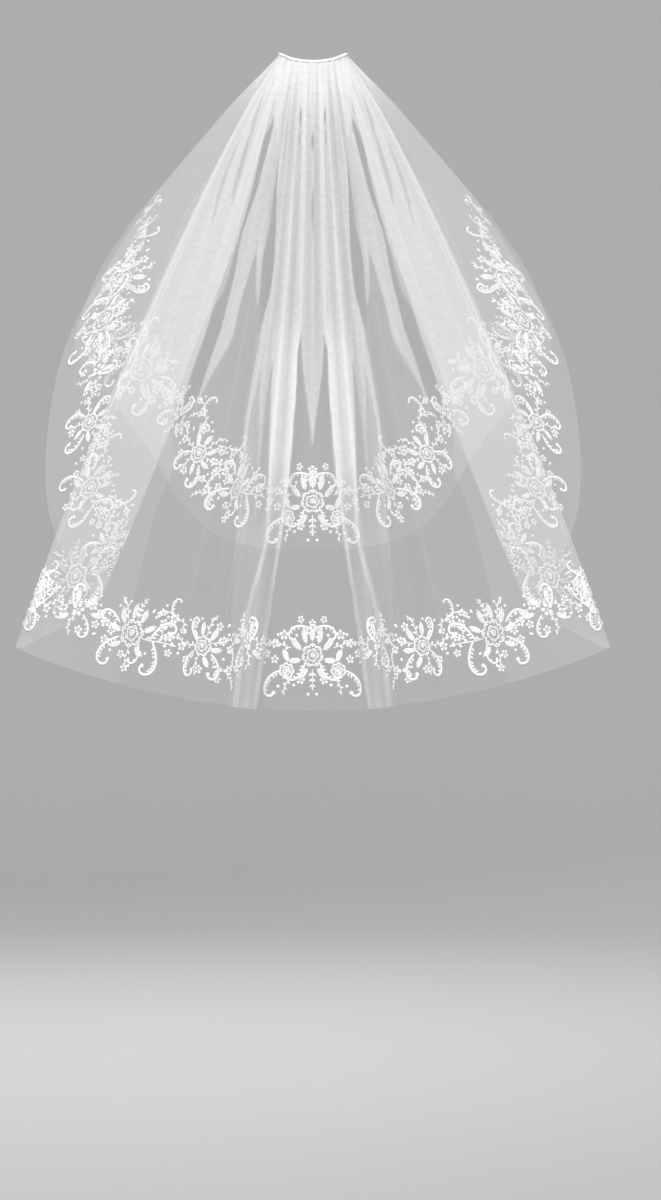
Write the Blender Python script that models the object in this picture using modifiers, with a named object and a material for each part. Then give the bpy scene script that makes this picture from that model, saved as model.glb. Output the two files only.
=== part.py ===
"""Two-tier bridal veil of tulle, gathered on a hair comb and hanging as worn.

Run with: blender --background --python part.py
Metres, +Z up. The origin is on the middle of the comb, +Y is the way the wearer faces, and the cloth falls
behind the wearer, on the -Y side. The long tier lies outside the short one.
"""

import math
from collections import namedtuple

import bmesh
import bpy
from mathutils import Vector

MM = 0.001

# ---- Driving dimensions, in metres ----
COMB_LENGTH = 0.079
COMB_RISE = 0.0093  # the comb's ends stand this much higher than its middle
COMB_WRAP = 0.0060  # and this much further forward, round the head
WRAP_FADE = 0.050  # the cloth loses the comb's bend over about this far
WALL = 0.0010  # tulle as a wall
HALF_COMB = COMB_LENGTH / 2

LONG_REACH = 0.757  # the long tier's drop at the centre back, in the plane of the back
FAN_APEX = 0.045  # the fan's lines meet this far above the comb
CROWN_LIFT = 0.0064  # the cloth drops this much less than its length, for it runs back over the crown first
CROWN_REACH = 0.100  # within this far of the comb
NEAR_RADIUS = 0.150  # where the tables' "near" columns hold
TURN_POWER = 0.65  # how soon a fold line takes up its direction at the hem

# How the cloth follows the head, the hair and the back: its depth behind the comb, by distance from the comb.
Drop = namedtuple("Drop", "distance_m centre_y_mm side_y_mm")
DROPS = (
    Drop(0.000, 0, 0),
    Drop(0.030, -19, 2),
    Drop(0.060, -34, 5),
    Drop(0.120, -50, 13),
    Drop(0.250, -63, 29),
    Drop(0.400, -71, 46),
    Drop(0.560, -82, 64),
    Drop(0.800, -98, 84),
)

# Fold lines from the centre back out to the free edge, on the left; the right half mirrors them.
# share is the place along the half comb, the angles are from straight down, and lift is how far the line
# stands out from the back, at the comb, at NEAR_RADIUS and at the hem. reach is the cloth's length there,
# and margin is the plain tulle between the lace and the cut edge.
Fold = namedtuple(
    "Fold", "name share near_deg hem_deg comb_lift_mm near_lift_mm hem_lift_mm reach_m margin_mm columns"
)
LONG_FOLDS = (
    Fold("tongue", 0.00, 0.0, 0.0, 1.6, 12, 2, 0.757, 10, 3),
    Fold("tongue side", 0.13, 0.6, 1.2, 1.2, 3, 2, 0.757, 10, 2),
    Fold("strip foot", 0.24, 0.9, 3.5, 1.2, 3, 4, 0.757, 10, 2),
    Fold("strip inner", 0.29, 1.4, 3.9, 1.4, 9, 22, 0.757, 10, 2),
    Fold("strip crest", 0.36, 2.2, 4.6, 1.6, 13, 34, 0.757, 10, 2),
    Fold("strip outer", 0.43, 3.1, 5.4, 1.4, 8, 20, 0.757, 10, 2),
    Fold("first valley", 0.49, 4.0, 6.3, 1.2, 2, 3, 0.757, 10, 3),
    Fold("pleat crest", 0.57, 5.4, 8.2, 1.6, 9, 17, 0.757, 10, 3),
    Fold("second valley", 0.65, 6.6, 10.2, 1.2, 3, 4, 0.757, 10, 3),
    Fold("soft crest", 0.73, 9.5, 13.2, 2.4, 9, 20, 0.757, 10, 3),
    Fold("third valley", 0.80, 13.0, 16.0, 5.4, 11, 17, 0.758, 10, 3),
    Fold("band top", 0.87, 21.5, 20.0, 6.4, 15, 41, 0.758, 14, 3),
    Fold("outer fold back", 0.964, 30.8, 23.50, 5.9, 13.9, 41.6, 0.759, 18, 2),
    Fold("outer fold", 0.97, 31.0, 23.62, 5.0, 12, 37, 0.759, 18, 2),
    Fold("outer fold front", 0.960, 30.1, 23.15, 4.1, 10.2, 32.6, 0.757, 18, 2),
    Fold("tuck", 0.91, 20.5, 21.4, 3.8, 8.8, 26, 0.728, 16, 3),
    Fold("inner fold back", 0.860, 10.6, 19.42, 3.4, 7.7, 19, 0.695, 16, 2),
    Fold("inner fold", 0.85, 9.8, 18.9, 2.5, 6, 14, 0.690, 16, 2),
    Fold("inner fold front", 0.856, 10.0, 19.08, 1.6, 4.3, 8, 0.685, 16, 2),
    Fold("wing root", 0.90, 19.5, 22.8, 1.1, 3, 5, 0.650, 24, 3),
    Fold("wing", 0.935, 28.0, 29.1, 1.1, 3, 7, 0.572, 46, 4),
    Fold("wing bulge", 0.96, 35.0, 34.8, 1.1, 4, 8, 0.462, 52, 4),
    Fold("wing shoulder", 0.98, 39.0, 39.2, 1.1, 3, 4, 0.320, 26, 3),
    Fold("free edge", 1.00, 41.2, 41.2, 1.1, 3, 4, 0.224, 8, 0),
)
SHORT_FOLDS = (
    Fold("centre", 0.00, 0.0, 0.0, 1.8, 6, 6, 0.574, 4, 3),
    Fold("first valley", 0.17, 2.0, 3.0, 2.2, 11, 18, 0.575, 4, 3),
    Fold("first crest", 0.33, 4.4, 6.4, 1.8, 6, 6, 0.574, 4, 3),
    Fold("second valley", 0.48, 7.6, 10.0, 2.2, 12, 20, 0.566, 4, 3),
    Fold("second crest", 0.62, 12.2, 14.2, 1.8, 6, 7, 0.538, 4, 3),
    Fold("third valley", 0.74, 17.2, 18.6, 2.2, 11, 19, 0.496, 4, 3),
    Fold("third crest", 0.84, 23.0, 24.0, 1.8, 6, 7, 0.464, 4, 3),
    Fold("fourth valley", 0.91, 29.0, 30.0, 2.2, 10, 16, 0.446, 4, 3),
    Fold("fourth crest", 0.95, 35.0, 35.8, 1.8, 6, 7, 0.418, 4, 4),
    Fold("shoulder", 0.975, 39.0, 39.6, 2.0, 7, 8, 0.352, 4, 3),
    Fold("free edge", 1.00, 41.8, 41.8, 2.0, 7, 8, 0.256, 4, 0),
)

# Rows of cloth from comb to hem, as shares of the reach.
LONG_ROWS = (0, 0.03, 0.07, 0.12, 0.18, 0.26, 0.36, 0.47, 0.58, 0.69, 0.79, 0.87, 0.94, 1)
SHORT_ROWS = (0, 0.04, 0.09, 0.15, 0.23, 0.34, 0.47, 0.60, 0.73, 0.84, 0.92, 1)

# The small gathers under the comb, which fade into the folds below.
GATHERS = 8  # on each half of the comb
GATHER_DEPTH = 0.0022
GATHER_AT_COMB = 0.25  # their depth in the binding, against GATHER_DEPTH
GATHER_PEAK = 0.060  # from the comb to where they are deepest
GATHER_END_SHARE = 0.80  # they stop where the side pleat begins
GATHER_FADE_SHARE = 0.10  # and die away over this much of the comb before it

# Lace border, laid on each tier. Its flowers repeat along the hem; at each one the border is at its widest,
# and between them it has openings. flower_share is the share of a repeat that stays whole.
LACE_WALL = 0.0010
LACE_LIFT = 0.0016  # from the tulle's middle to the lace's middle
Border = namedtuple("Border", "repeat_m width_m width_wave_m scallop_m flower_share bands")
LONG_BORDER = Border(0.118, 0.082, 0.017, 0.012, 0.22, 5)
SHORT_BORDER = Border(0.107, 0.078, 0.015, 0.010, 0.22, 5)

# Comb, behind the gathers.
COMB_TEETH = 20
COMB_PLATE = 0.0018
COMB_SPINE = 0.009
COMB_TOOTH = 0.034
COMB_INSET = 0.0015  # the comb ends this far inside the gathers
COMB_STANDOFF = 0.0076
COMB_SPLAY = 0.20  # the teeth lean this much towards the head
ToothRow = namedtuple("ToothRow", "share_down taper")  # taper is against half the pitch of teeth and slots
TOOTH_ROWS = (ToothRow(0.0, 0.0), ToothRow(0.5, 0.08), ToothRow(1.0, 0.30))

# Binding over the top edges of both tiers.
BINDING_WALL = 0.0010
BINDING_DROP = 0.0036
BINDING_BACK = -0.0092
BINDING_FRONT = 0.0056
BINDING_TOP = 0.0010
BINDING_BEVEL = 0.0012
BINDING_OVERHANG = 0.0012  # past each end of the gathers
BINDING_STEPS = 20

COLOURS = {
    "tulle": (0.93, 0.93, 0.94, 1.0, 0.75),
    "lace": (0.98, 0.98, 0.97, 1.0, 0.55),
    "binding": (0.97, 0.97, 0.97, 1.0, 0.45),
    "comb": (0.90, 0.90, 0.88, 1.0, 0.30),
}


def clear_scene():
    for obj in list(bpy.data.objects):
        bpy.data.objects.remove(obj)


def smooth(value):
    value = min(max(value, 0.0), 1.0)
    return value * value * (3 - 2 * value)


def curve_between(before, start, end, after, gaps, part):
    """A smooth curve from start to end, at a part of the way. before and after lie on either side, and gaps are the
    three spacings between the four."""
    first, middle, last = gaps
    rise = end - start
    rate_in, rate, rate_out = (start - before) / first, rise / middle, (after - end) / last
    way_in = (rate_in * middle + rate * first) / (first + middle) * middle
    way_out = (rate * last + rate_out * middle) / (middle + last) * middle
    bend = 3 * rise - 2 * way_in - way_out
    return start + way_in * part + bend * part**2 + (way_in + way_out - 2 * rise) * part**3


def carried_on(numbers):
    """Numbers with one more at each end, straight on from the last two."""
    return [2 * numbers[0] - numbers[1], *numbers, 2 * numbers[-1] - numbers[-2]]


def hem_gaps(folds):
    """How far apart the table's rows count as, the root of the cloth between them at the hem, so that the curve
    turns tightly at a fold and runs straight between folds."""
    hem = [
        Vector((HALF_COMB * row.share + row.reach_m * math.sin(math.radians(row.hem_deg)), row.hem_lift_mm * MM))
        for row in folds
    ]
    gaps = [math.sqrt((after - before).length) for before, after in zip(hem, hem[1:])]
    return [gaps[0], *gaps, gaps[-1]]


def fold_at(folds, place):
    """The fold table's numbers between two rows, as a Fold with no name. Past the centre line a share or an angle
    changes its sign, and a lift or a length doesn't."""
    index = min(int(place), len(folds) - 2)
    gaps = hem_gaps(folds)[index : index + 3]
    found = {}
    for field in Fold._fields[1:-1]:
        numbers = carried_on([getattr(row, field) for row in folds])
        if field.endswith(("_mm", "_m")):
            numbers[0] = numbers[2]
        found[field] = curve_between(*numbers[index : index + 4], gaps, place - index)
    return Fold(name="", columns=0, **found)


def drop_depth(distance, column):
    """Depth of the back at a distance from the comb, between the rows of DROPS."""
    distance = min(distance, DROPS[-1].distance_m)
    index = max(i for i, row in enumerate(DROPS[:-1]) if row.distance_m <= distance)
    ways = carried_on([row.distance_m for row in DROPS])[index : index + 4]
    gaps = [after - before for before, after in zip(ways, ways[1:])]
    depths = carried_on([getattr(row, column) for row in DROPS])[index : index + 4]
    return curve_between(*depths, gaps, (distance - ways[1]) / gaps[1]) * MM


def back_depth(x, drop):
    """Y of the surface between the two tiers, which rounds the head, the hair and the shoulders."""
    aside = abs(x)
    distance = math.hypot(max(aside - HALF_COMB, 0.0), drop)
    sideways = math.sin(2 * min(math.atan2(aside, drop + FAN_APEX), math.pi / 4)) ** 2
    centre = drop_depth(distance, "centre_y_mm")
    side = drop_depth(distance, "side_y_mm")
    wrap = COMB_WRAP * (min(aside, HALF_COMB) / HALF_COMB) ** 2 * math.exp(-distance / WRAP_FADE)
    return centre + (side - centre) * sideways + wrap


def comb_rise(x):
    return COMB_RISE * (x / HALF_COMB) ** 2


def crown_lift(radius):
    """How much less the cloth drops than its length, where it runs back over the crown before it falls."""
    return CROWN_LIFT * smooth(radius / CROWN_REACH)


def lift_at(fold, radius):
    """How far a fold line stands off the back, in metres."""
    if radius < NEAR_RADIUS:
        share = smooth(radius / NEAR_RADIUS)
        lift = fold.comb_lift_mm + (fold.near_lift_mm - fold.comb_lift_mm) * share
    else:
        share = (radius - NEAR_RADIUS) / (LONG_REACH - NEAR_RADIUS)
        lift = fold.near_lift_mm + (fold.hem_lift_mm - fold.near_lift_mm) * share
    return lift * MM


def gather_depth(share, radius):
    """The fine gathers: ridges on the outer side, deepest a little below the comb."""
    if share > GATHER_END_SHARE:
        return 0.0
    fade = 1 - smooth((share - GATHER_END_SHARE) / GATHER_FADE_SHARE + 1)
    swell = (GATHER_AT_COMB + radius / GATHER_PEAK) * math.exp(1 - radius / GATHER_PEAK) / (1 + GATHER_AT_COMB)
    ridge = (1 - math.cos(2 * math.pi * GATHERS * share / GATHER_END_SHARE)) / 2
    return GATHER_DEPTH * fade * swell * ridge


def cloth_point(folds, place, share_down, outward):
    """A point of a tier's middle surface. place is signed rows from the centre, share_down runs from comb to hem,
    and outward is 1 for the tier outside the back surface and -1 for the one inside it."""
    fold = fold_at(folds, abs(place))
    radius = share_down * fold.reach_m
    turn = (radius / LONG_REACH) ** TURN_POWER
    angle = math.radians(fold.near_deg + (fold.hem_deg - fold.near_deg) * turn)
    start = HALF_COMB * fold.share
    x = start + radius * math.sin(angle)
    drop = radius * math.cos(angle)
    lift = lift_at(fold, radius) + gather_depth(fold.share, radius)
    y = back_depth(x, drop) - outward * lift
    return Vector((math.copysign(x, -place) if place else 0.0, y, comb_rise(start) - drop + crown_lift(radius)))


def column_places(folds):
    """Where the cloth's columns lie, in signed rows: each fold says how many it needs before the next."""
    half = [0.0]
    for index, fold in enumerate(folds[:-1]):
        half += [index + (step + 1) / fold.columns for step in range(fold.columns)]
    return [-place for place in reversed(half[1:])] + half


def tier_points(folds, rows, outward):
    """The tier as a list of columns, each a list of points from comb to hem."""
    return [[cloth_point(folds, place, row, outward) for row in rows] for place in column_places(folds)]


def sheet_object(name, columns, thickness, material, keep=None):
    """An open grid whose points are moved onto the given columns, with faces that keep() refuses removed,
    made a wall by Solidify. The outer face is the one away from the wearer."""
    width, height = len(columns), len(columns[0])
    mesh = bpy.data.meshes.new(name)
    grid = bmesh.new()
    bmesh.ops.create_grid(grid, x_segments=width - 1, y_segments=height - 1, size=1.0)
    grid.verts.ensure_lookup_table()
    cells = {}
    for face in grid.faces:
        middle = face.calc_center_median()
        cells[face] = (
            int((middle.x + 1) / 2 * (width - 1)),
            int((middle.y + 1) / 2 * (height - 1)),
        )
    for vert in grid.verts:
        column = round((vert.co.x + 1) / 2 * (width - 1))
        row = round((vert.co.y + 1) / 2 * (height - 1))
        vert.co = columns[column][row]
    if keep:
        gone = [face for face, cell in cells.items() if not keep(*cell)]
        bmesh.ops.delete(grid, geom=gone, context="FACES")
    grid.to_mesh(mesh)
    grid.free()
    obj = bpy.data.objects.new(name, mesh)
    parts.objects.link(obj)
    wall = obj.modifiers.new("wall", "SOLIDIFY")
    wall.thickness = thickness
    wall.offset = 0.0
    mesh.materials.append(material)
    mesh.shade_smooth()
    return obj


def grid_point(columns, rows, column, share_down):
    """A point of a tier between its own columns and rows."""
    left = min(int(column), len(columns) - 2)
    top = max(i for i, row in enumerate(rows[:-1]) if row <= share_down)
    across = column - left
    down = (share_down - rows[top]) / (rows[top + 1] - rows[top])
    upper = columns[left][top].lerp(columns[left + 1][top], across)
    lower = columns[left][top + 1].lerp(columns[left + 1][top + 1], across)
    return upper.lerp(lower, down)


def grid_normal(columns, rows, column, share_down):
    """The way out of the cloth, on its outer face."""
    step, last = 0.5, len(columns) - 1
    before = grid_point(columns, rows, max(column - step, 0), share_down)
    after = grid_point(columns, rows, min(column + step, last), share_down)
    above = grid_point(columns, rows, column, max(share_down - 0.02, 0))
    below = grid_point(columns, rows, column, min(share_down + 0.02, 1))
    return (above - below).cross(after - before).normalized()


def ways_along(points):
    """Each point's distance from the middle one, along the line."""
    middle = len(points) // 2
    ways = [0.0] * len(points)
    for step in range(1, middle + 1):
        ways[middle + step] = ways[middle + step - 1] + (points[middle + step] - points[middle + step - 1]).length
        ways[middle - step] = ways[middle - step + 1] + (points[middle - step] - points[middle - step + 1]).length
    return ways


def border_columns(folds, columns, rows, border):
    """The lace border's grid: the tier's own columns, moved out, from the scalloped inner line to the outer one."""
    ways = ways_along([column[-1] for column in columns])
    laid = []
    for column, place in enumerate(column_places(folds)):
        fold = fold_at(folds, abs(place))
        wave = math.cos(2 * math.pi * ways[column] / border.repeat_m)
        inner = fold.margin_mm * MM + border.width_m + border.width_wave_m * wave
        outer = fold.margin_mm * MM + border.scallop_m * (1 - wave) / 2
        line = []
        for band in range(border.bands + 1):
            share_down = 1 - (inner + (outer - inner) * band / border.bands) / fold.reach_m
            point = grid_point(columns, rows, column, share_down)
            line.append(point + grid_normal(columns, rows, column, share_down) * LACE_LIFT)
        laid.append(line)
    return laid


def lace_keeps(ways, border):
    """Which cells of the border are lace: garlands along it, flowers at each repeat and openings between them."""
    middle = len(ways) // 2

    def keeps(column, band):
        phase = (ways[column] + ways[column + 1]) / 2 / border.repeat_m % 1
        in_flower = min(phase, 1 - phase) < border.flower_share / 2
        stem = abs(2 * (column - middle) + 1) // 2 % 2 == 0
        return band % 2 == 0 or in_flower or stem

    return keeps


def binding_object(material):
    """The folded strip over the tiers' top edges: a channel, open below."""
    section = (
        (BINDING_BACK, -BINDING_DROP),
        (BINDING_BACK, BINDING_TOP - BINDING_BEVEL),
        (BINDING_BACK + BINDING_BEVEL, BINDING_TOP),
        (BINDING_FRONT - BINDING_BEVEL, BINDING_TOP),
        (BINDING_FRONT, BINDING_TOP - BINDING_BEVEL),
        (BINDING_FRONT, -BINDING_DROP),
    )
    columns = []
    for step in range(BINDING_STEPS + 1):
        x = (HALF_COMB + BINDING_OVERHANG) * (2 * step / BINDING_STEPS - 1)
        columns.append([Vector((x, back_depth(x, max(-z, 0.0)) + y, comb_rise(x) + z)) for y, z in section])
    return sheet_object("gather_binding", columns, BINDING_WALL, material)


def comb_object(material):
    """A flat comb bent round the head: a spine with tapered teeth, cut from one plate."""
    teeth_and_slots = 2 * COMB_TEETH - 1
    reach = HALF_COMB - COMB_INSET
    width = 2 * reach / teeth_and_slots
    rows = [(0.0, 0.0)] + [(COMB_SPINE + COMB_TOOTH * row.share_down, row.taper) for row in TOOTH_ROWS]
    columns = []
    for line in range(teeth_and_slots + 1):
        towards_tooth = width if line % 2 == 0 else -width
        points = []
        for drop, taper in rows:
            x = -reach + width * line + towards_tooth * taper
            y = back_depth(x, drop) + COMB_STANDOFF + COMB_SPLAY * drop
            points.append(Vector((x, y, comb_rise(x) - drop)))
        columns.append(points)
    return sheet_object("comb", columns, COMB_PLATE, material, lambda column, row: row == 0 or column % 2 == 0)


def material_named(name):
    red, green, blue, alpha, roughness = COLOURS[name]
    material = bpy.data.materials.new(name)
    material.use_nodes = True
    shader = material.node_tree.nodes["Principled BSDF"]
    shader.inputs["Base Color"].default_value = (red, green, blue, alpha)
    shader.inputs["Roughness"].default_value = roughness
    material.diffuse_color = (red, green, blue, alpha)
    return material


def build_tier(name, lace_name, folds, rows, border, outward, tulle, lace):
    columns = tier_points(folds, rows, outward)
    sheet_object(name, columns, WALL, tulle)
    laid = border_columns(folds, columns, rows, border)
    ways = ways_along([column[-1] for column in columns])
    sheet_object(lace_name, laid, LACE_WALL, lace, lace_keeps(ways, border))


clear_scene()
parts = bpy.data.collections.new("bridal_veil")
bpy.context.scene.collection.children.link(parts)

tulle = material_named("tulle")
lace = material_named("lace")
build_tier("long_tier", "long_lace_border", LONG_FOLDS, LONG_ROWS, LONG_BORDER, 1, tulle, lace)
build_tier("short_tier", "short_lace_border", SHORT_FOLDS, SHORT_ROWS, SHORT_BORDER, -1, tulle, lace)
binding_object(material_named("binding"))
comb_object(material_named("comb"))
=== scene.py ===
import math
import bmesh
import bpy
import numpy as np
from mathutils import Matrix, Vector


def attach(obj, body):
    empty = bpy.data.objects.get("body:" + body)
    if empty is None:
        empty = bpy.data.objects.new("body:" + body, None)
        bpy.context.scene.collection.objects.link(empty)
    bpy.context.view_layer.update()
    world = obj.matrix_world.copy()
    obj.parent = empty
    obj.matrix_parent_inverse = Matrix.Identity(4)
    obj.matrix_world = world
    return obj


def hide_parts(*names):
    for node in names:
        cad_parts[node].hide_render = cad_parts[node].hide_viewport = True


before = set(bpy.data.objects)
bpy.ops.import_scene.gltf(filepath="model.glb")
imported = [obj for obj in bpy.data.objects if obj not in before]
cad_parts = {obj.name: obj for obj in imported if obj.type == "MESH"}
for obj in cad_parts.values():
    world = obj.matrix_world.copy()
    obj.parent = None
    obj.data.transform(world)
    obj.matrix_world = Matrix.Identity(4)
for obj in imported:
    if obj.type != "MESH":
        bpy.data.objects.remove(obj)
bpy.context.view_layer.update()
scene = bpy.context.scene
print("frame loaded")

# Camera, level, 3 m behind the wearer
camera = {"place": (0.0203, -3.0, -0.6261), "lens": 77.4, "sensor": 36.0}
cameraData = bpy.data.cameras.new("backViewCamera")
cameraData.sensor_width = camera["sensor"]
cameraData.lens = camera["lens"]
cameraObject = bpy.data.objects.new("backViewCamera", cameraData)
cameraObject.location = camera["place"]
cameraObject.rotation_euler = (math.radians(90), 0, 0)
scene.collection.objects.link(cameraObject)
scene.camera = cameraObject


# How the cloth hangs, by the same numbers as the solids
hang = {
    "combLength": 0.079,
    "combRise": 0.0093,
    "combWrap": 0.0060,
    "wrapFade": 0.050,
    "longReach": 0.757,
    "fanApex": 0.045,
    "crownLift": 0.0064,
    "crownReach": 0.100,
    "nearRadius": 0.150,
    "turnPower": 0.65,
    "drops": (  # distance from the comb in m, depth at the centre back and at the sides in mm
        (0.000, 0, 0),
        (0.030, -19, 2),
        (0.060, -34, 5),
        (0.120, -50, 13),
        (0.250, -63, 29),
        (0.400, -71, 46),
        (0.560, -82, 64),
        (0.800, -98, 84),
    ),
}
halfComb = hang["combLength"] / 2

# One row for each fold line, from the centre back out to the free edge. share is the place along the half
# comb, the angles are from straight down, the lifts stand off the back in mm, reach is in m, and the last
# three say how many layers of net lie bunched there, 15 cm below the comb, halfway down and at the hem.
foldColumns = (
    "share", "nearDeg", "hemDeg", "combLift", "nearLift", "hemLift", "reach",
    "bunchNear", "bunchMid", "bunchHem",
)
longTier = {
    "name": "longTier",
    "outward": 1,
    "folds": (
        (0.000, 0.0, 0.00, 1.6, 12.0, 2.0, 0.757, 2.6, 1.5, 1.0),  # tongue
        (0.130, 0.6, 1.20, 1.2, 3.0, 2.0, 0.757, 1.3, 0.9, 1.0),  # tongue side
        (0.240, 0.9, 3.50, 1.2, 3.0, 4.0, 0.757, 2.0, 1.0, 1.0),  # strip foot
        (0.290, 1.4, 3.90, 1.4, 9.0, 22.0, 0.757, 2.6, 1.7, 1.4),  # strip inner
        (0.360, 2.2, 4.60, 1.6, 13.0, 34.0, 0.757, 3.0, 2.0, 1.2),  # strip crest
        (0.430, 3.1, 5.40, 1.4, 8.0, 20.0, 0.757, 2.8, 1.7, 1.4),  # strip outer
        (0.490, 4.0, 6.30, 1.2, 2.0, 3.0, 0.757, 2.2, 1.0, 1.0),  # first valley
        (0.570, 5.4, 8.20, 1.6, 9.0, 17.0, 0.757, 2.6, 1.4, 1.1),  # pleat crest
        (0.650, 6.6, 10.20, 1.2, 3.0, 4.0, 0.757, 1.8, 1.0, 1.0),  # second valley
        (0.730, 9.5, 13.20, 2.4, 9.0, 20.0, 0.757, 2.2, 1.2, 1.1),  # soft crest
        (0.800, 13.0, 16.00, 5.4, 11.0, 17.0, 0.758, 1.5, 1.0, 1.0),  # third valley
        (0.870, 21.5, 20.00, 6.4, 15.0, 41.0, 0.758, 1.6, 1.1, 1.0),  # band top
        (0.964, 30.8, 23.50, 5.9, 13.9, 41.6, 0.759, 1.4, 1.2, 1.1),  # outer fold, back
        (0.970, 31.0, 23.62, 5.0, 12.0, 37.0, 0.759, 1.5, 1.3, 1.2),  # outer fold
        (0.960, 30.1, 23.15, 4.1, 10.2, 32.6, 0.757, 1.4, 1.2, 1.1),  # outer fold, front
        (0.910, 20.5, 21.40, 3.8, 8.8, 26.0, 0.728, 1.5, 1.1, 1.0),  # tuck
        (0.860, 10.6, 19.42, 3.4, 7.7, 19.0, 0.695, 1.7, 1.3, 1.1),  # inner fold, back
        (0.850, 9.8, 18.90, 2.5, 6.0, 14.0, 0.690, 1.9, 1.4, 1.2),  # inner fold
        (0.856, 10.0, 19.08, 1.6, 4.3, 8.0, 0.685, 1.7, 1.3, 1.1),  # inner fold, front
        (0.900, 19.5, 22.80, 1.1, 3.0, 5.0, 0.650, 1.3, 1.0, 1.0),  # wing root
        (0.935, 28.0, 29.10, 1.1, 3.0, 7.0, 0.572, 1.0, 1.0, 1.0),  # wing
        (0.960, 35.0, 34.80, 1.1, 4.0, 8.0, 0.462, 1.0, 1.0, 1.0),  # wing bulge
        (0.980, 39.0, 39.20, 1.1, 3.0, 4.0, 0.320, 1.0, 1.0, 1.0),  # wing shoulder
        (1.000, 41.2, 41.20, 1.1, 3.0, 4.0, 0.224, 1.0, 1.0, 1.0),  # free edge
    ),
}
shortTier = {
    "name": "shortTier",
    "outward": -1,
    "folds": (
        (0.000, 0.0, 0.0, 1.8, 6.0, 6.0, 0.574, 2.2, 1.0, 1.0),  # centre
        (0.170, 2.0, 3.0, 2.2, 11.0, 18.0, 0.575, 2.4, 1.3, 1.0),  # first valley
        (0.330, 4.4, 6.4, 1.8, 6.0, 6.0, 0.574, 2.6, 1.3, 1.1),  # first crest
        (0.480, 7.6, 10.0, 2.2, 12.0, 20.0, 0.566, 2.0, 0.9, 0.9),  # second valley
        (0.620, 12.2, 14.2, 1.8, 6.0, 7.0, 0.538, 1.8, 1.1, 1.0),  # second crest
        (0.740, 17.2, 18.6, 2.2, 11.0, 19.0, 0.496, 1.5, 1.0, 1.0),  # third valley
        (0.840, 23.0, 24.0, 1.8, 6.0, 7.0, 0.464, 1.3, 1.0, 1.0),  # third crest
        (0.910, 29.0, 30.0, 2.2, 10.0, 16.0, 0.446, 1.1, 1.0, 1.0),  # fourth valley
        (0.950, 35.0, 35.8, 1.8, 6.0, 7.0, 0.418, 1.0, 1.0, 1.0),  # fourth crest
        (0.975, 39.0, 39.6, 2.0, 7.0, 8.0, 0.352, 0.9, 0.9, 0.9),  # shoulder
        (1.000, 41.8, 41.8, 2.0, 7.0, 8.0, 0.256, 0.9, 0.9, 0.9),  # free edge
    ),
}


def ease(value):
    value = np.clip(value, 0.0, 1.0)
    return value * value * (3 - 2 * value)


def carriedOn(numbers):
    return np.concatenate([[2 * numbers[0] - numbers[1]], numbers, [2 * numbers[-1] - numbers[-2]]])


def curveThrough(numbers, gaps, index, part):
    # a smooth curve through numbers with uneven gaps, at a part of the gap that follows index
    before, start, end, after = (numbers[index + step] for step in range(4))
    first, middle, last = (gaps[index + step] for step in range(3))
    rise = end - start
    rateIn, rate, rateOut = (start - before) / first, rise / middle, (after - end) / last
    wayIn = (rateIn * middle + rate * first) / (first + middle) * middle
    wayOut = (rate * last + rateOut * middle) / (middle + last) * middle
    bend = 3 * rise - 2 * wayIn - wayOut
    return start + wayIn * part + bend * part**2 + (wayIn + wayOut - 2 * rise) * part**3


def readFolds(tier):
    rows = np.array(tier["folds"], float)
    table = {column: rows[:, index] for index, column in enumerate(foldColumns)}
    acrossHem = halfComb * table["share"] + table["reach"] * np.sin(np.radians(table["hemDeg"]))
    gaps = np.sqrt(np.hypot(np.diff(acrossHem), np.diff(table["hemLift"] / 1000)))
    tier["last"] = len(rows) - 1
    tier["gaps"] = np.concatenate([[gaps[0]], gaps, [gaps[-1]]])
    tier["table"] = {column: carriedOn(numbers) for column, numbers in table.items()}
    for column in foldColumns[3:]:
        numbers = tier["table"][column]
        numbers[0] = numbers[2]  # the other half mirrors it


def alongFolds(tier, column, places):
    index = np.minimum(places.astype(int), tier["last"] - 1)
    return curveThrough(tier["table"][column], tier["gaps"], index, places - index)


def smoothThrough(ways, values, at):
    # a smooth curve through the values at the ways, level beyond both ends
    at = np.clip(at, ways[0], ways[-1])
    index = np.clip(np.searchsorted(ways, at, side="right") - 1, 0, len(ways) - 2)
    ways = carriedOn(ways)
    gaps = np.diff(ways)
    return curveThrough(carriedOn(values), gaps, index, (at - ways[index + 1]) / gaps[index + 1])


def depthDown(distance, column):
    drops = np.array(hang["drops"], float)
    return smoothThrough(drops[:, 0], drops[:, column], distance) / 1000


def backDepth(x, drop):
    aside = np.abs(x)
    distance = np.hypot(np.maximum(aside - halfComb, 0.0), drop)
    sideways = np.sin(2 * np.minimum(np.arctan2(aside, drop + hang["fanApex"]), math.pi / 4)) ** 2
    centre, side = depthDown(distance, 1), depthDown(distance, 2)
    wrap = (np.minimum(aside, halfComb) / halfComb) ** 2 * np.exp(-distance / hang["wrapFade"])
    return centre + (side - centre) * sideways + hang["combWrap"] * wrap


def combRise(x):
    return hang["combRise"] * (x / halfComb) ** 2


gathers = {
    "count": 5,
    "depth": 0.0020,
    "atComb": 0.18,
    "peak": 0.060,
    "end": 0.80,
    "fade": 0.10,
    "drift": ((0.016, 3.1, 1.0), (0.010, 7.3, 0.4)),  # uneven spacing: size, times along the comb, start
    "uneven": (0.55, 2.7, 2.0),  # uneven depth, by the same three
}


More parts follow.
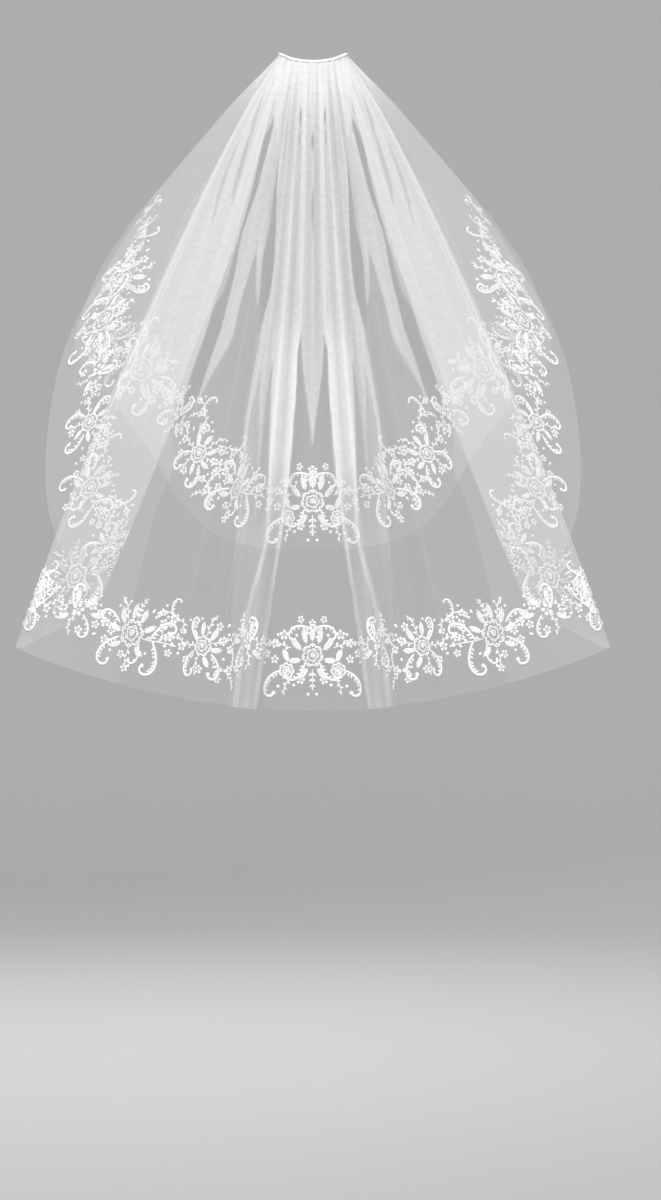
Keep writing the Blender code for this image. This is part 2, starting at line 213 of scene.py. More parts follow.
def gatherDepth(share, radius):
    around, end, peak = 2 * np.pi * share, gathers["end"], gathers["peak"]
    fade = 1 - ease((share - end) / gathers["fade"] + 1)
    swell = (gathers["atComb"] + radius / peak) * np.exp(1 - radius / peak) / (1 + gathers["atComb"])
    shifted = share + sum(size * np.sin(times * around + start) for size, times, start in gathers["drift"])
    ridge = (1 - np.cos(2 * np.pi * gathers["count"] * shifted / end)) / 2
    size, times, start = gathers["uneven"]
    ridge = ridge * (1 - size * (0.5 + 0.5 * np.sin(times * around + start)))
    return np.where(share > end, 0, gathers["depth"] * fade * swell * ridge)


def hangingCloth(tier, places, radii, relief=0.0):
    # points of the tier: places are signed fold rows from the centre, radii are m of cloth down from the comb
    share, nearDeg, hemDeg, combLift, nearLift, hemLift = (
        alongFolds(tier, column, np.abs(places)) for column in foldColumns[:6]
    )
    turn = (np.maximum(radii, 0) / hang["longReach"]) ** hang["turnPower"]
    angle = np.radians(nearDeg + (hemDeg - nearDeg) * turn)
    start = halfComb * share
    x = start + radii * np.sin(angle)
    drop = radii * np.cos(angle)
    near = hang["nearRadius"]
    above = combLift + (nearLift - combLift) * ease(radii / near)
    below = nearLift + (hemLift - nearLift) * (radii - near) / (hang["longReach"] - near)
    lift = np.where(radii < near, above, below) / 1000 + gatherDepth(share, radii) + relief
    y = backDepth(x, drop) - tier["outward"] * lift
    z = combRise(start) - drop + hang["crownLift"] * ease(radii / hang["crownReach"])
    return np.stack([-np.sign(places) * x, y, z], axis=-1)


cutting = {
    "placesPerRow": 60,
    "measuredAt": 0.9,  # of the reach
    "edgeStep": 0.002,
    "softened": 4,  # steps either side over which the edge's direction is levelled
}


def unrollTier(tier):
    # the flat cut: each fold line's direction from the middle of the comb, and the line of the cut edge
    places = np.linspace(0, tier["last"], tier["last"] * cutting["placesPerRow"] + 1)
    reach = alongFolds(tier, "reach", places)
    measured = cutting["measuredAt"] * reach
    steps = np.linalg.norm(np.diff(hangingCloth(tier, places, measured), axis=0), axis=1)
    fan = np.concatenate([[0], np.cumsum(steps / ((measured[1:] + measured[:-1]) / 2))])
    edge = np.stack([reach * np.sin(fan), -reach * np.cos(fan)], axis=-1)
    ways = np.concatenate([[0], np.cumsum(np.linalg.norm(np.diff(edge, axis=0), axis=1))])
    even = np.arange(0, ways[-1], cutting["edgeStep"])
    line = np.stack([np.interp(even, ways, edge[:, axis]) for axis in (0, 1)], axis=-1)
    around = cutting["softened"]
    slope = np.pad(np.gradient(line, axis=0), ((around, around), (0, 0)), mode="edge")
    soft = np.ones(2 * around + 1) / (2 * around + 1)
    slope = np.stack([np.convolve(slope[:, axis], soft, "valid") for axis in (0, 1)], axis=-1)
    slope /= np.linalg.norm(slope, axis=1)[:, None]
    tier.update(placesFine=places, fanFine=fan, reachFine=reach, even=even, edgeLine=line, edgeSlope=slope)
    print(tier["name"], "half of the cut edge", round(ways[-1], 3), "m, fan", round(math.degrees(fan[-1]), 1))


for tier in (longTier, shortTier):
    readFolds(tier)
    unrollTier(tier)


# Thin pressed lines: fold row, from and to in m down from the comb, width and height in mm, and how white
# the line along it is, as denser net and a painted highlight
longTier["creases"] = (
    (0.00, 0.10, 0.46, 3.0, 1.5, 0.0),
    (0.62, 0.02, 0.40, 1.6, -0.8, 0.0),
    (1.30, 0.00, 0.30, 1.2, 0.8, 0.10),
    (2.30, 0.05, 0.95, 1.2, 0.6, 0.0),
    (3.50, 0.00, 0.38, 1.4, 0.7, 0.10),
    (4.60, 0.10, 0.95, 1.2, 0.6, 0.0),
    (5.70, 0.00, 0.45, 1.2, -0.6, 0.0),
    (6.35, 0.12, 0.95, 1.0, 0.6, 0.25),
    (7.00, 0.18, 0.70, 1.0, 0.6, 0.20),
    (7.55, 0.00, 0.36, 1.2, -0.6, 0.0),
    (8.10, 0.20, 0.80, 0.9, 0.5, 0.20),
    (9.00, 0.06, 0.55, 1.3, 0.8, 0.10),
    (9.60, 0.02, 0.30, 1.4, -0.5, 0.0),
    (10.50, 0.04, 0.42, 1.2, 0.6, 0.15),
    (11.25, 0.10, 0.62, 1.4, 0.7, 0.10),
    (11.68, 0.12, 0.58, 1.0, 0.3, 0.45),
    (11.85, 0.06, 0.80, 0.9, 0.3, 0.65),
    (13.00, 0.00, 0.95, 2.0, 0.0, 0.95),
    (15.30, 0.05, 0.70, 1.2, 0.5, 0.10),
    (17.00, 0.00, 0.95, 1.0, 0.0, 0.80),
    (19.30, 0.02, 0.45, 1.2, 0.5, 0.10),
    (22.97, 0.00, 0.95, 0.8, 0.0, 0.50),
)
shortTier["creases"] = (
    (0.45, 0.02, 0.50, 1.4, -0.5, 0.0),
    (1.00, 0.04, 0.54, 1.2, 0.7, 0.10),
    (1.60, 0.00, 0.42, 1.2, 0.6, 0.0),
    (2.40, 0.06, 0.54, 1.2, -0.6, 0.0),
    (3.00, 0.10, 0.54, 1.0, 0.5, 0.15),
    (3.70, 0.00, 0.36, 1.3, 0.6, 0.0),
    (4.45, 0.05, 0.46, 1.1, 0.5, 0.10),
    (5.00, 0.08, 0.48, 1.0, 0.5, 0.10),
    (6.20, 0.02, 0.40, 1.2, 0.6, 0.10),
    (7.10, 0.06, 0.42, 1.0, 0.5, 0.0),
    (8.30, 0.00, 0.30, 1.2, 0.4, 0.0),
)
pressing = {
    "fadeIn": 0.25,  # parts of a crease's length
    "fadeOut": 0.45,
    "apex": 0.03,  # the fold lines meet so many m above the comb
    "widenBy": 0.25,  # m down for each further width
    "widest": 2.0,
    "lineWidth": 0.0013,
    "combFade": 0.08,
}


def fanAt(tier, places):
    return np.sign(places) * np.interp(np.abs(places), tier["placesFine"], tier["fanFine"])


def placeAt(tier, fan):
    return np.sign(fan) * np.interp(np.abs(fan), tier["fanFine"], tier["placesFine"])


def creaseField(tier, places, radii):
    # the creases' height in metres and the white lines along them: denser net with a painted highlight
    fan = fanAt(tier, places)
    height, line = np.zeros(fan.shape), np.zeros(fan.shape)
    widening = np.minimum(0.9 + radii / pressing["widenBy"], pressing["widest"])
    combFade = ease(radii / pressing["combFade"] + 0.1)
    for place, start, stop, width, rise, denseHighlight in tier["creases"]:
        centre = fanAt(tier, np.array([place]))[0]
        length = stop - start
        along = ease((radii - start) / (pressing["fadeIn"] * length) + 0.15)
        along = along * ease((stop - radii) / (pressing["fadeOut"] * length))
        for side in (1, -1) if centre > 0.001 else (1,):
            aside = np.abs(fan - side * centre) * (radii + pressing["apex"])
            height += rise / 1000 * np.exp(-((aside / (width / 1000 * widening)) ** 2)) * along * combFade
            sharp = np.clip(1 - aside / (pressing["lineWidth"] * max(width, 1)), 0, 1)
            line = np.maximum(line, denseHighlight * sharp * along)
    return height, line


# Where the gathers lie thick or part: layers of net there in the long and the short tier, how white the
# place's edges are (denser net and a painted highlight), how much painted shade greys it, and, at so many mm
# below the comb, its inner and outer edge in mm from the centre back
gatheredPlaces = {
    "mass": (5.0, 2.6, 0.0, 0.20, (
        (0, 0, 45), (60, 0, 44), (130, 0, 40), (165, 0, 41), (210, 0, 42), (265, 0, 46), (300, 0, 54),
        (335, 0, 61), (392, 0, 70), (430, 0, 76), (520, 0, 82),
    )),
    "band": (2.9, 1.8, 0.0, 0.00, (
        (0, 41, 60), (40, 45, 70), (85, 50, 90), (140, 60, 125), (180, 73, 150), (230, 90, 172),
        (297, 117, 200), (359, 142, 224), (420, 162, 246),
    )),
    "middleFold": (5.0, 2.0, 0.0, 0.27, (
        (0, 0, 0.5), (90, 0, 1.5), (225, 0, 3.4), (329, 0, 12.5), (392, 0, 8), (426, 0, 3.4), (459, 0, 0.2),
    )),
    "innerStreak": (6.2, 2.2, 0.0, 0.08, (
        (0, 6, 10), (90, 8, 13), (200, 9, 14), (300, 12, 15), (334, 12.6, 13.4),
    )),
    "outerStreak": (6.0, 2.0, 0.0, 0.06, ((150, 22, 30), (250, 25, 34), (330, 28, 40), (400, 32, 44))),
    "centreSlit": (0.5, 0.5, 0.50, 0.50, (
        (333, 12.6, 13.2), (341, 12.5, 15.6), (392, 8, 18.6), (426, 3.4, 21.6), (459, 0, 24.2),
        (478, 0, 25.4), (556, 0, 35), (640, 0, 47), (770, 0, 64),
    )),
    "strip": (11, 2.4, 0.5, 0.00, (
        (333, 14, 46), (341, 15.6, 46), (392, 18.6, 46), (430, 21.8, 47), (470, 25, 48), (500, 28, 48.5),
        (545, 33.6, 50.5),
    )),
    "lowStrip": (5, 1.8, 0.5, 0.00, ((500, 28, 48.5), (556, 35, 51), (640, 47, 73), (770, 64, 92))),
    "stripMiddle": (2.0, 1.2, 0.0, 0.20, ((510, 32, 46), (556, 38.5, 48), (640, 51.5, 68), (770, 69, 86))),
    "firstSpike": (1.6, 0.8, 0.14, 0.20, (
        (368, 59.0, 59.4), (392, 60, 64.5), (430, 60.5, 72), (470, 62, 76), (560, 66, 84),
    )),
    "secondSpike": (1.0, 0.7, 0.14, 0.20, (
        (356, 43.2, 43.6), (392, 47, 51), (430, 48, 56), (470, 49, 60), (560, 53, 65),
    )),
    "outerRoot": (2.6, 1.2, 0.35, 0.12, (
        (130, 47, 60), (165, 46, 63), (210, 48, 81), (240, 56, 90), (280, 60, 100), (340, 62, 118),
    )),
    "secondSlit": (0.4, 0.5, 0.30, 0.80, (
        (131, 39.6, 40.2), (165, 40.8, 44.5), (210, 42.2, 50.5), (245, 44, 58), (280, 48, 61), (312, 56, 65),
        (330, 60, 66),
    )),
    "spike": (5, 1.6, 0.10, 0.20, ((205, 50, 60), (245, 57.5, 63.5), (280, 60, 64.5), (304, 63, 64.2))),
    "openCloth": (0.7, 0.7, 0.0, 0.35, (
        (236, 64, 65), (256, 64.5, 73), (280, 65, 79), (300, 62, 84.5), (335, 62, 92), (392, 71, 128),
        (430, 77, 140), (520, 84, 175), (770, 96, 230),
    )),
    "greyFold": (4.5, 1.5, 0.16, 0.30, (
        (200, 52, 76), (232, 66, 85), (256, 72, 88), (280, 79, 93), (300, 85, 99), (324, 90.5, 105),
        (346, 99, 113), (370, 113, 121.5), (424, 140, 142),
    )),
    "firstSlit": (0.4, 0.5, 0.50, 0.80, (
        (77, 45.4, 46), (86, 45, 50), (97, 47.5, 55), (120, 53, 61), (142, 59, 65.5), (165, 64.5, 71),
        (186, 72, 76.5), (210, 80, 83.5), (232, 84.5, 90), (256, 88.5, 96), (280, 94, 104), (300, 99, 115),
        (324, 105, 122), (346, 113, 130), (392, 128, 146), (430, 140, 160),
    )),
    "bandShade": (0.8, 0.8, 0.0, 0.60, ((44, 56, 57), (60, 60, 63.5), (84, 67, 71), (100, 71, 72))),
    "lowBandShade": (0.9, 0.8, 0.0, 0.60, ((96, 72, 74), (125, 78, 83), (160, 88, 92), (178, 92, 93))),
    "outerShade": (1.5, 1.0, 0.0, 0.50, ((100, 84, 85.5), (130, 95, 99), (165, 106, 110), (200, 116, 117))),
    "fineSlit": (0.8, 1.0, 0.0, 1.0, (
        (66, 13.6, 14.2), (76, 12.8, 15.2), (88, 13.4, 14.4), (92, 14.2, 14.6),
    )),
    "lowerFineSlit": (1.0, 1.0, 0.0, 1.0, ((96, 14.6, 15.0), (104, 14.2, 15.6), (114, 14.8, 15.2))),
    "middleSlit": (1.6, 1.0, 0.0, 1.0, ((98, 0, 0.3), (112, 0, 1.6), (122, 0, 0.3))),
    "lowMiddleSlit": (2.4, 1.2, 0.0, 0.90, ((165, 0, 0.3), (190, 0, 1.2), (215, 0, 0.3))),
}
bunching = {
    "nearToMid": (0.14, 0.24),  # m down where one column of layers gives way to the next, and over how many
    "midToHem": (0.40, 0.30),
    "lastRow": 11.9,  # the long tier's gathered places show as far as this fold row
    "soft": (0.5, 700),  # mm over which their sides fade at the comb, and how many mm down for one more
    "line": (1.0, 900),  # the same for the width of the white line along them
    "lineFade": 60,
    "blunt": 5,  # mm of width from which the end of a place is blunt
    "bluntTop": 90,  # mm over which the ends fade
    "sharpTop": 14,
    "foot": 30,
    "bluntFoot": 0.35,  # of the whole length
    "crowd": (0.80, 0.12, 0.35),  # share of the comb past which fewer layers are drawn up, over what, least
    "combShade": (16, 80, 0.22),  # mm below the comb where the painted shade begins, over what, least
    "layers": (0.4, 24.0),
}
streaks = {  # the many fine pleats drawn up by the gathering thread, as unevenness in the number of layers
    "kinds": (  # how many for each radian of the flat cut, strength, m down where they die away, seed
        (64.0, 2.3, 0.34, 11),
        (23.0, 1.2, 0.60, 16),
    ),
    # painted shade that follows the same unevenness
    "paintedShade": 0.07,
    "combLayers": 9.0,  # more layers at the comb, which thin out over combReach
    "combReach": 0.050,
}


def streakNoise(fan, count, seed):
    # smooth uneven numbers from -1 to 1 along the gathered edge, the same on both halves
    chance = np.random.default_rng(seed)
    steps = np.abs(fan) * count
    values = chance.uniform(-1, 1, int(steps.max()) + 3)
    index = steps.astype(int)
    part = ease(steps - index)
    return values[index] * (1 - part) + values[index + 1] * part


def endFades(downs, inner, outer, below):
    # how a gathered place and the line along it come and go down the cloth, softly where an end is wide
    top, foot = downs[0], downs[-1]
    blunt = outer - inner > bunching["blunt"]
    fadeIn = bunching["bluntTop"] if blunt[0] and top else bunching["sharpTop"]
    fadeOut = max(bunching["foot"], bunching["bluntFoot"] * (foot - top)) if blunt[-1] else bunching["foot"]
    lineFade = bunching["lineFade"]
    place = ease((below - top) / fadeIn + 0.5) * ease((foot - below) / fadeOut + 0.5)
    return place, ease((below - top) / lineFade + 0.2) * ease((foot - below) / lineFade)


def gathering(tier, places, radii, points):
    # for each point, the layers of net bunched there, how white the gathers' edges are (denser net and a
    # painted highlight) and how much painted shade greys the net
    aside, isLong = np.abs(places), tier["outward"] > 0
    near, middle, hem = (alongFolds(tier, column, aside) for column in foldColumns[7:])
    (midStart, midOver), (hemStart, hemOver) = bunching["nearToMid"], bunching["midToHem"]
    upper = near + (middle - near) * ease((radii - midStart) / midOver)
    layers = upper + (hem - upper) * ease((radii - hemStart) / hemOver)
    edges, paintedShades = np.zeros(layers.shape), np.zeros(layers.shape)
    outside, below = np.abs(points[:, 0]) * 1000, (hang["crownLift"] - points[:, 2]) * 1000
    facing = aside < (bunching["lastRow"] if isLong else tier["last"] + 1)
    soft, lineWidth = (start + below / more for start, more in (bunching["soft"], bunching["line"]))
    for longLayers, shortLayers, denseHighlight, paintedShade, sides in gatheredPlaces.values():
        downs, inner, outer = np.array(sides, float).T
        innerEdge, outerEdge = smoothThrough(downs, inner, below), smoothThrough(downs, outer, below)
        placeFade, lineFade = endFades(downs, inner, outer, below)
        cover = ease((outerEdge - outside) / soft + 0.5) * placeFade * facing
        if inner.max() > 0:
            cover = cover * np.where(innerEdge > 0.05, ease((outside - innerEdge) / soft + 0.5), 1)
        layers = layers + ((longLayers if isLong else shortLayers) - layers) * cover
        paintedShades = paintedShades + (paintedShade - paintedShades) * cover
        if denseHighlight and isLong:
            for edge in (innerEdge, outerEdge):
                line = np.clip(1 - np.abs(outside - edge) / lineWidth, 0, 1) * (edge > 0.5)
                edges = np.maximum(edges, denseHighlight * line * lineFade * facing)
    share, over, fewest = bunching["crowd"]
    crowd = 1 - ease((alongFolds(tier, "share", aside) - share) / over)
    atComb = np.exp(-((radii / streaks["combReach"]) ** 1.5))
    layers = layers + streaks["combLayers"] * (fewest + (1 - fewest) * crowd) * atComb
    uneven = np.zeros(layers.shape)
    for count, strength, reach, seed in streaks["kinds"]:
        noise = streakNoise(fanAt(tier, places), count, seed + tier["outward"])
        uneven += strength * noise * np.exp(-((radii / reach) ** 2)) * np.clip((layers - 1) / 4.5, 0.06, 0.8)
    # painted shade: least at the comb, and darker or lighter along the fine pleats
    begin, over, least = bunching["combShade"]
    paintedShades = paintedShades * (least + (1 - least) * ease((below - begin) / over)) + streaks["paintedShade"] * uneven * facing
    return np.clip(layers + uneven, *bunching["layers"]), edges, np.clip(paintedShades, 0, 1)


def feed(tree, node, inputs):
    # numbers and colours are set on the node's sockets, and other nodes' sockets are linked to them
    for socket, value in inputs.items():
        if isinstance(value, bpy.types.NodeSocket):
            tree.links.new(value, node.inputs[socket])
        else:
            node.inputs[socket].default_value = value
    return node


def newMaterial(name):
    material = bpy.data.materials.new(name)
    material.use_nodes = True
    tree = material.node_tree
    return material, tree, tree.nodes["Principled BSDF"]


def newNode(tree, kind, inputs):
    return feed(tree, tree.nodes.new("ShaderNode" + kind), inputs)


def mathNode(tree, operation, *values, clamp=False):
    node = tree.nodes.new("ShaderNodeMath")
    node.operation = operation
    node.use_clamp = clamp
    return feed(tree, node, dict(enumerate(values))).outputs[0]


def vectorNode(tree, operation, *values):
    node = tree.nodes.new("ShaderNodeVectorMath")
    node.operation = operation
    return feed(tree, node, dict(enumerate(values)))


def colourNode(tree, part, *colours):
    # between two colours, each three numbers or another node's socket
    node = tree.nodes.new("ShaderNodeMix")
    node.data_type = "RGBA"
    first, second = ((*colour, 1) if isinstance(colour, tuple) else colour for colour in colours)
    return feed(tree, node, {0: part, 6: first, 7: second}).outputs[2]


def bumpNode(tree, height, strength, distance):
    node = newNode(tree, "Bump", {"Height": height, "Strength": strength, "Distance": distance})
    return node.outputs["Normal"]


def noiseNode(tree, place, scale, detail=2.0):
    return newNode(tree, "TexNoise", {"Vector": place, "Scale": scale, "Detail": detail})


def attributeNode(tree, name):
    node = tree.nodes.new("ShaderNodeAttribute")
    node.attribute_name = name
    return node.outputs["Fac"]


def objectPlace(tree):
    return tree.nodes.new("ShaderNodeTexCoord").outputs["Object"]


def meshFrom(shape, name):
    mesh = bpy.data.meshes.new(name)
    shape.to_mesh(mesh)
    shape.free()
    return mesh


def newPiece(mesh, name, material):
    mesh.update()
    mesh.shade_smooth()
    mesh.materials.append(material)
    piece = bpy.data.objects.new(name, mesh)
    scene.collection.objects.link(piece)
    return piece


def vertexPlaces(mesh):
    places = np.empty(len(mesh.vertices) * 3)
    mesh.vertices.foreach_get("co", places)
    return places.reshape(-1, 3)


tulle = {
    "cell": 0.0016,  # from one hole of the net to the next
    "cover": 0.135,  # how much one layer hides
    "netContrast": 0.11,  # how much more the threads hide than the holes
    "creaseCover": 0.55,
    "drift": (45.0, 0.006),  # the net is never quite straight: noise scale, and m that it is pulled about
    "cloud": (160.0, 0.5, 0.75),  # noise scale, and how much the layers vary with it from what least
    "colour": (0.845, 0.84, 0.845),
    # darker tone: the noise cloud varies it at random, and the painted highlight along the lines lifts it to
    # the colour
    "shade": (0.77, 0.765, 0.775),
    "paintedShade": (0.42, 0.405, 0.41),  # painted shade, deep between the gathers
    "roughness": 0.62,
    "sheen": 0.30,
    "sheenRoughness": 0.35,
}


def tulleMaterial():
    material, tree, shader = newMaterial("bridalTulle")
    uv = tree.nodes.new("ShaderNodeUVMap")
    uv.uv_map = "cut"
    flat = uv.outputs[0]
    driftScale, pull = tulle["drift"]
    drift = noiseNode(tree, flat, driftScale, 1.0).outputs["Color"]
    pulled = vectorNode(tree, "MULTIPLY_ADD", drift, (pull, pull, 0), flat).outputs[0]
    pitch = 2 * math.pi / (tulle["cell"] * math.cos(math.radians(30)))
    waves = []
    for turn in (0, 60, 120):  # three sets of threads make the six-sided holes
        across = (math.cos(math.radians(turn)) * pitch, math.sin(math.radians(turn)) * pitch, 0)
        along = vectorNode(tree, "DOT_PRODUCT", pulled, across).outputs["Value"]
        waves.append(mathNode(tree, "COSINE", along))
    hills = mathNode(tree, "ADD", mathNode(tree, "ADD", waves[0], waves[1]), waves[2])
    threads = mathNode(tree, "MULTIPLY_ADD", hills, -0.8, 0.25, clamp=True)
    layers, crease, shaded = (attributeNode(tree, name) for name in ("bunching", "crease", "shade"))
    crossing = mathNode(tree, "DIVIDE", tulle["netContrast"], mathNode(tree, "MAXIMUM", layers, 1.0))
    threads = mathNode(tree, "SUBTRACT", threads, 0.45)
    cover = mathNode(tree, "MULTIPLY_ADD", threads, crossing, tulle["cover"])
    cloudScale, varies, least = tulle["cloud"]
    cloud = noiseNode(tree, flat, cloudScale, 3.0).outputs["Fac"]
    count = mathNode(tree, "MULTIPLY", layers, mathNode(tree, "MULTIPLY_ADD", cloud, varies, least))
    clear = mathNode(tree, "POWER", mathNode(tree, "SUBTRACT", 1.0, cover), count)
    # The white lines along creases and gathers' edges: more alpha for denser net, and a painted highlight
    # that lifts the tone
    pressed = mathNode(tree, "MULTIPLY_ADD", crease, -tulle["creaseCover"], 1.0)
    lit = mathNode(tree, "MULTIPLY_ADD", crease, 0.5, cloud, clamp=True)
    tone = colourNode(tree, lit, tulle["shade"], tulle["colour"])
    # The shade attribute mixes in painted shade between the gathers
    feed(tree, shader, {
        "Base Color": colourNode(tree, shaded, tone, tulle["paintedShade"]),
        "Alpha": mathNode(tree, "SUBTRACT", 1.0, mathNode(tree, "MULTIPLY", clear, pressed), clamp=True),
        "Roughness": tulle["roughness"],
        "Sheen Weight": tulle["sheen"],
        "Sheen Roughness": tulle["sheenRoughness"],
    })
    return material


weave = {  # steps in m
    "columnStep": 0.0055,
    "frontStep": 0.0013,  # where the cloth faces outwards and its gathers show, measured at frontRadius
    "frontRadius": 0.42,
    "frontRows": 12,
    "fewest": 5,
    "creaseStep": 0.0022,
    "rowStep": 0.0078,
    "rowPower": 1.15,  # closer rows at the comb
    "closest": 0.004,  # in fold rows
}


def columnPlaces(tier):
    places = [0.0]
    for row in range(tier["last"]):
        here, there = np.interp([row, row + 1], tier["placesFine"], tier["fanFine"])
        reach = alongFolds(tier, "reach", np.array([float(row)]))[0]
        count = max(weave["fewest"], math.ceil((there - here) * reach / weave["columnStep"]))
        if tier["outward"] > 0 and row < weave["frontRows"]:
            ends = hangingCloth(tier, np.array([row, row + 1.0]), np.full(2, weave["frontRadius"]))
            count = max(count, math.ceil(abs(ends[1, 0] - ends[0, 0]) / weave["frontStep"]))
        places += [row + (step + 1) / count for step in range(count)]
    for crease, *_, denseHighlight in tier["creases"]:
        if denseHighlight > 0:
            around = fanAt(tier, np.array([crease])) + weave["creaseStep"] * np.array([-1, 0, 1])
            places += [place for place in placeAt(tier, around) if 0 < place < tier["last"]]
    places = np.unique(np.round(places, 4))
    keep = [places[0]]
    for place in places[1:]:
        if place - keep[-1] > weave["closest"]:
            keep.append(place)
    keep[-1] = float(tier["last"])
    return np.concatenate([-np.array(keep[:0:-1]), keep])


def tierOfTulle(tier, material):
    places = columnPlaces(tier)
    rows = int(float(tier["reachFine"].max()) / weave["rowStep"])
    downs = np.linspace(0, 1, rows + 1) ** weave["rowPower"]
    grid = bmesh.new()
    bmesh.ops.create_grid(grid, x_segments=len(places) - 1, y_segments=rows, size=1.0)
    mesh = meshFrom(grid, tier["name"])
    flat = (vertexPlaces(mesh) + 1) / 2
    place = places[np.rint(flat[:, 0] * (len(places) - 1)).astype(int)]
    radius = downs[np.rint(flat[:, 1] * rows).astype(int)] * alongFolds(tier, "reach", np.abs(place))
    height, denseHighlight = creaseField(tier, place, radius)
    points = hangingCloth(tier, place, radius, height)
    mesh.vertices.foreach_set("co", points.ravel())
    layers, edges, paintedShades = gathering(tier, place, radius, points)
    for name, values in (("bunching", layers), ("crease", np.maximum(denseHighlight, edges)), ("shade", paintedShades)):
        mesh.attributes.new(name, "FLOAT", "POINT").data.foreach_set("value", values)
    fan = fanAt(tier, place)
    cut = np.stack([radius * np.sin(fan), -radius * np.cos(fan)], axis=-1)
    corner = np.empty(len(mesh.loops), int)
    mesh.loops.foreach_get("vertex_index", corner)
    mesh.uv_layers.new(name="cut").data.foreach_set("uv", cut[corner].ravel())
    print(tier["name"], len(places), "columns,", rows + 1, "rows,", 2 * (len(places) - 1) * rows, "triangles")
    return newPiece(mesh, tier["name"], material)


tulleFinish = tulleMaterial()
longTulle = tierOfTulle(longTier, tulleFinish)
shortTulle = tierOfTulle(shortTier, tulleFinish)


# Lace motifs are drawn flat at their real size and then laid on the cloth. Everything here is in mm: x runs
# along the cut edge and y up from it, into the cloth.
lace = {
    "thick": 1.9,  # half the width of a scroll
    "line": 1.15,  # of an outline
    "fine": 0.85,  # of a stem
    "flatness": 0.45,
    "pad": 0.8,  # height of a satin-stitched petal
    "lift": 0.15,  # from the net to the underside of the stitching
    "ball": 4.2,
    "bud": (6.8, 3.6),
    "knob": 5.6,  # at the end of a scroll
    "tooth": (6.2, 2.9),
    "spread": 48,  # degrees from a stem to its leaves
}


def stitchLine(motif, points, width, ends=(0.55, 0.55)):
    motif["lines"].append((points, width, ends))


def arcPoints(x, y, radius, start, stop, count):
    return [awayFrom(x, y, radius, angle) for angle in np.linspace(start, stop, count)]


def spiralPoints(x, y, inner, outer, start, turns, count):
    steps = np.linspace(0, 1, count)
    return [awayFrom(x, y, inner + (outer - inner) * step, start + 360 * turns * step) for step in steps]


def curlPoints(x, y, heading, length, bend, curl, power, count):
    # a line that starts off towards heading, bending by so many degrees in each mm, and curls up at its end
    points, heading = [(x, y)], math.radians(heading)
    step = length / (count - 1)
    for place in np.linspace(0, 1, count)[1:]:
        heading += math.radians(bend + (curl - bend) * place**power) * step
        x, y = x + step * math.cos(heading), y + step * math.sin(heading)
        points.append((x, y))
    return points


def awayFrom(x, y, distance, turn):
    return x + distance * math.cos(math.radians(turn)), y + distance * math.sin(math.radians(turn))


def headingTo(start, end):
    return math.degrees(math.atan2(end[1] - start[1], end[0] - start[0]))


def satinPad(motif, x, y, length, width, turn, pointed, segments):
    pad = bmesh.ops.create_cone(
        motif["pads"], cap_ends=True, segments=segments, radius1=1.0, radius2=0.6, depth=1.0
    )
    cosine, sine = math.cos(math.radians(turn)), math.sin(math.radians(turn))
    for vert in pad["verts"]:
        along, across = vert.co.x, vert.co.y
        across *= max(1 - along * along, 0.02) ** (0.5 * pointed) if pointed else 1
        along, across = along * length / 2, across * width / 2
        height = (vert.co.z + 0.5) * lace["pad"]
        vert.co = (x + along * cosine - across * sine, y + along * sine + across * cosine, height)


def leaf(motif, x, y, length, width, turn, bend):
    # a row of short satin stitches either side of a midrib, growing from x, y
    points = curlPoints(x, y, turn, length, bend, bend, 1, 8)
    stitchLine(motif, points, lace["fine"], (0.9, 0.5))
    for index in range(1, 7):
        heading = headingTo(points[index], points[index + 1])
        reach = width / 2 * math.sin(math.pi * (0.12 + 0.83 * index / 7)) ** 0.8 + 1.0
        for side in (1, -1):
            middle = awayFrom(*points[index], reach * 0.55, heading + side * 52)
            satinPad(motif, *middle, reach * 1.25, 2.5, heading + side * 40, 0.6, 6)
    satinPad(motif, *awayFrom(*points[-1], 1.0, turn + bend * length), 4.6, 2.4, turn + bend * length, 0.8, 6)


def bud(motif, x, y, length, width, turn):
    satinPad(motif, *awayFrom(x, y, length / 2, turn), length, width, turn, 0.7, 7)


def daisy(motif, x, y, radius, turn):
    for petal in range(5):
        angle = turn + 72 * petal
        satinPad(motif, *awayFrom(x, y, 0.64 * radius, angle), radius * 0.78, radius * 0.72, angle, 0.25, 8)
    satinPad(motif, x, y, radius * 0.36, radius * 0.36, 0, 0, 6)


def rose(motif, x, y, radius, turn):
    # a coiled heart, five inner petals and seven outer ones with corded rims
    heart = spiralPoints(x, y, 0.04 * radius, 0.27 * radius, turn, 1.4, 14)
    stitchLine(motif, heart, lace["line"], (0.9, 0.9))
    for petal in range(5):
        angle = turn + 72 * petal + 20
        rim = arcPoints(*awayFrom(x, y, 0.36 * radius, angle), 0.24 * radius, angle - 95, angle + 95, 7)
        stitchLine(motif, rim, lace["fine"], (0.9, 0.9))
        satinPad(motif, *awayFrom(x, y, 0.44 * radius, angle), 0.13 * radius, 0.30 * radius, angle, 0.3, 7)
    for petal in range(7):
        angle = turn + 360 / 7 * petal
        rim = arcPoints(*awayFrom(x, y, 0.68 * radius, angle), 0.33 * radius, angle - 92, angle + 92, 9)
        stitchLine(motif, rim, lace["line"], (0.8, 0.8))
        satinPad(motif, *awayFrom(x, y, 0.83 * radius, angle), 0.16 * radius, 0.36 * radius, angle, 0.3, 8)


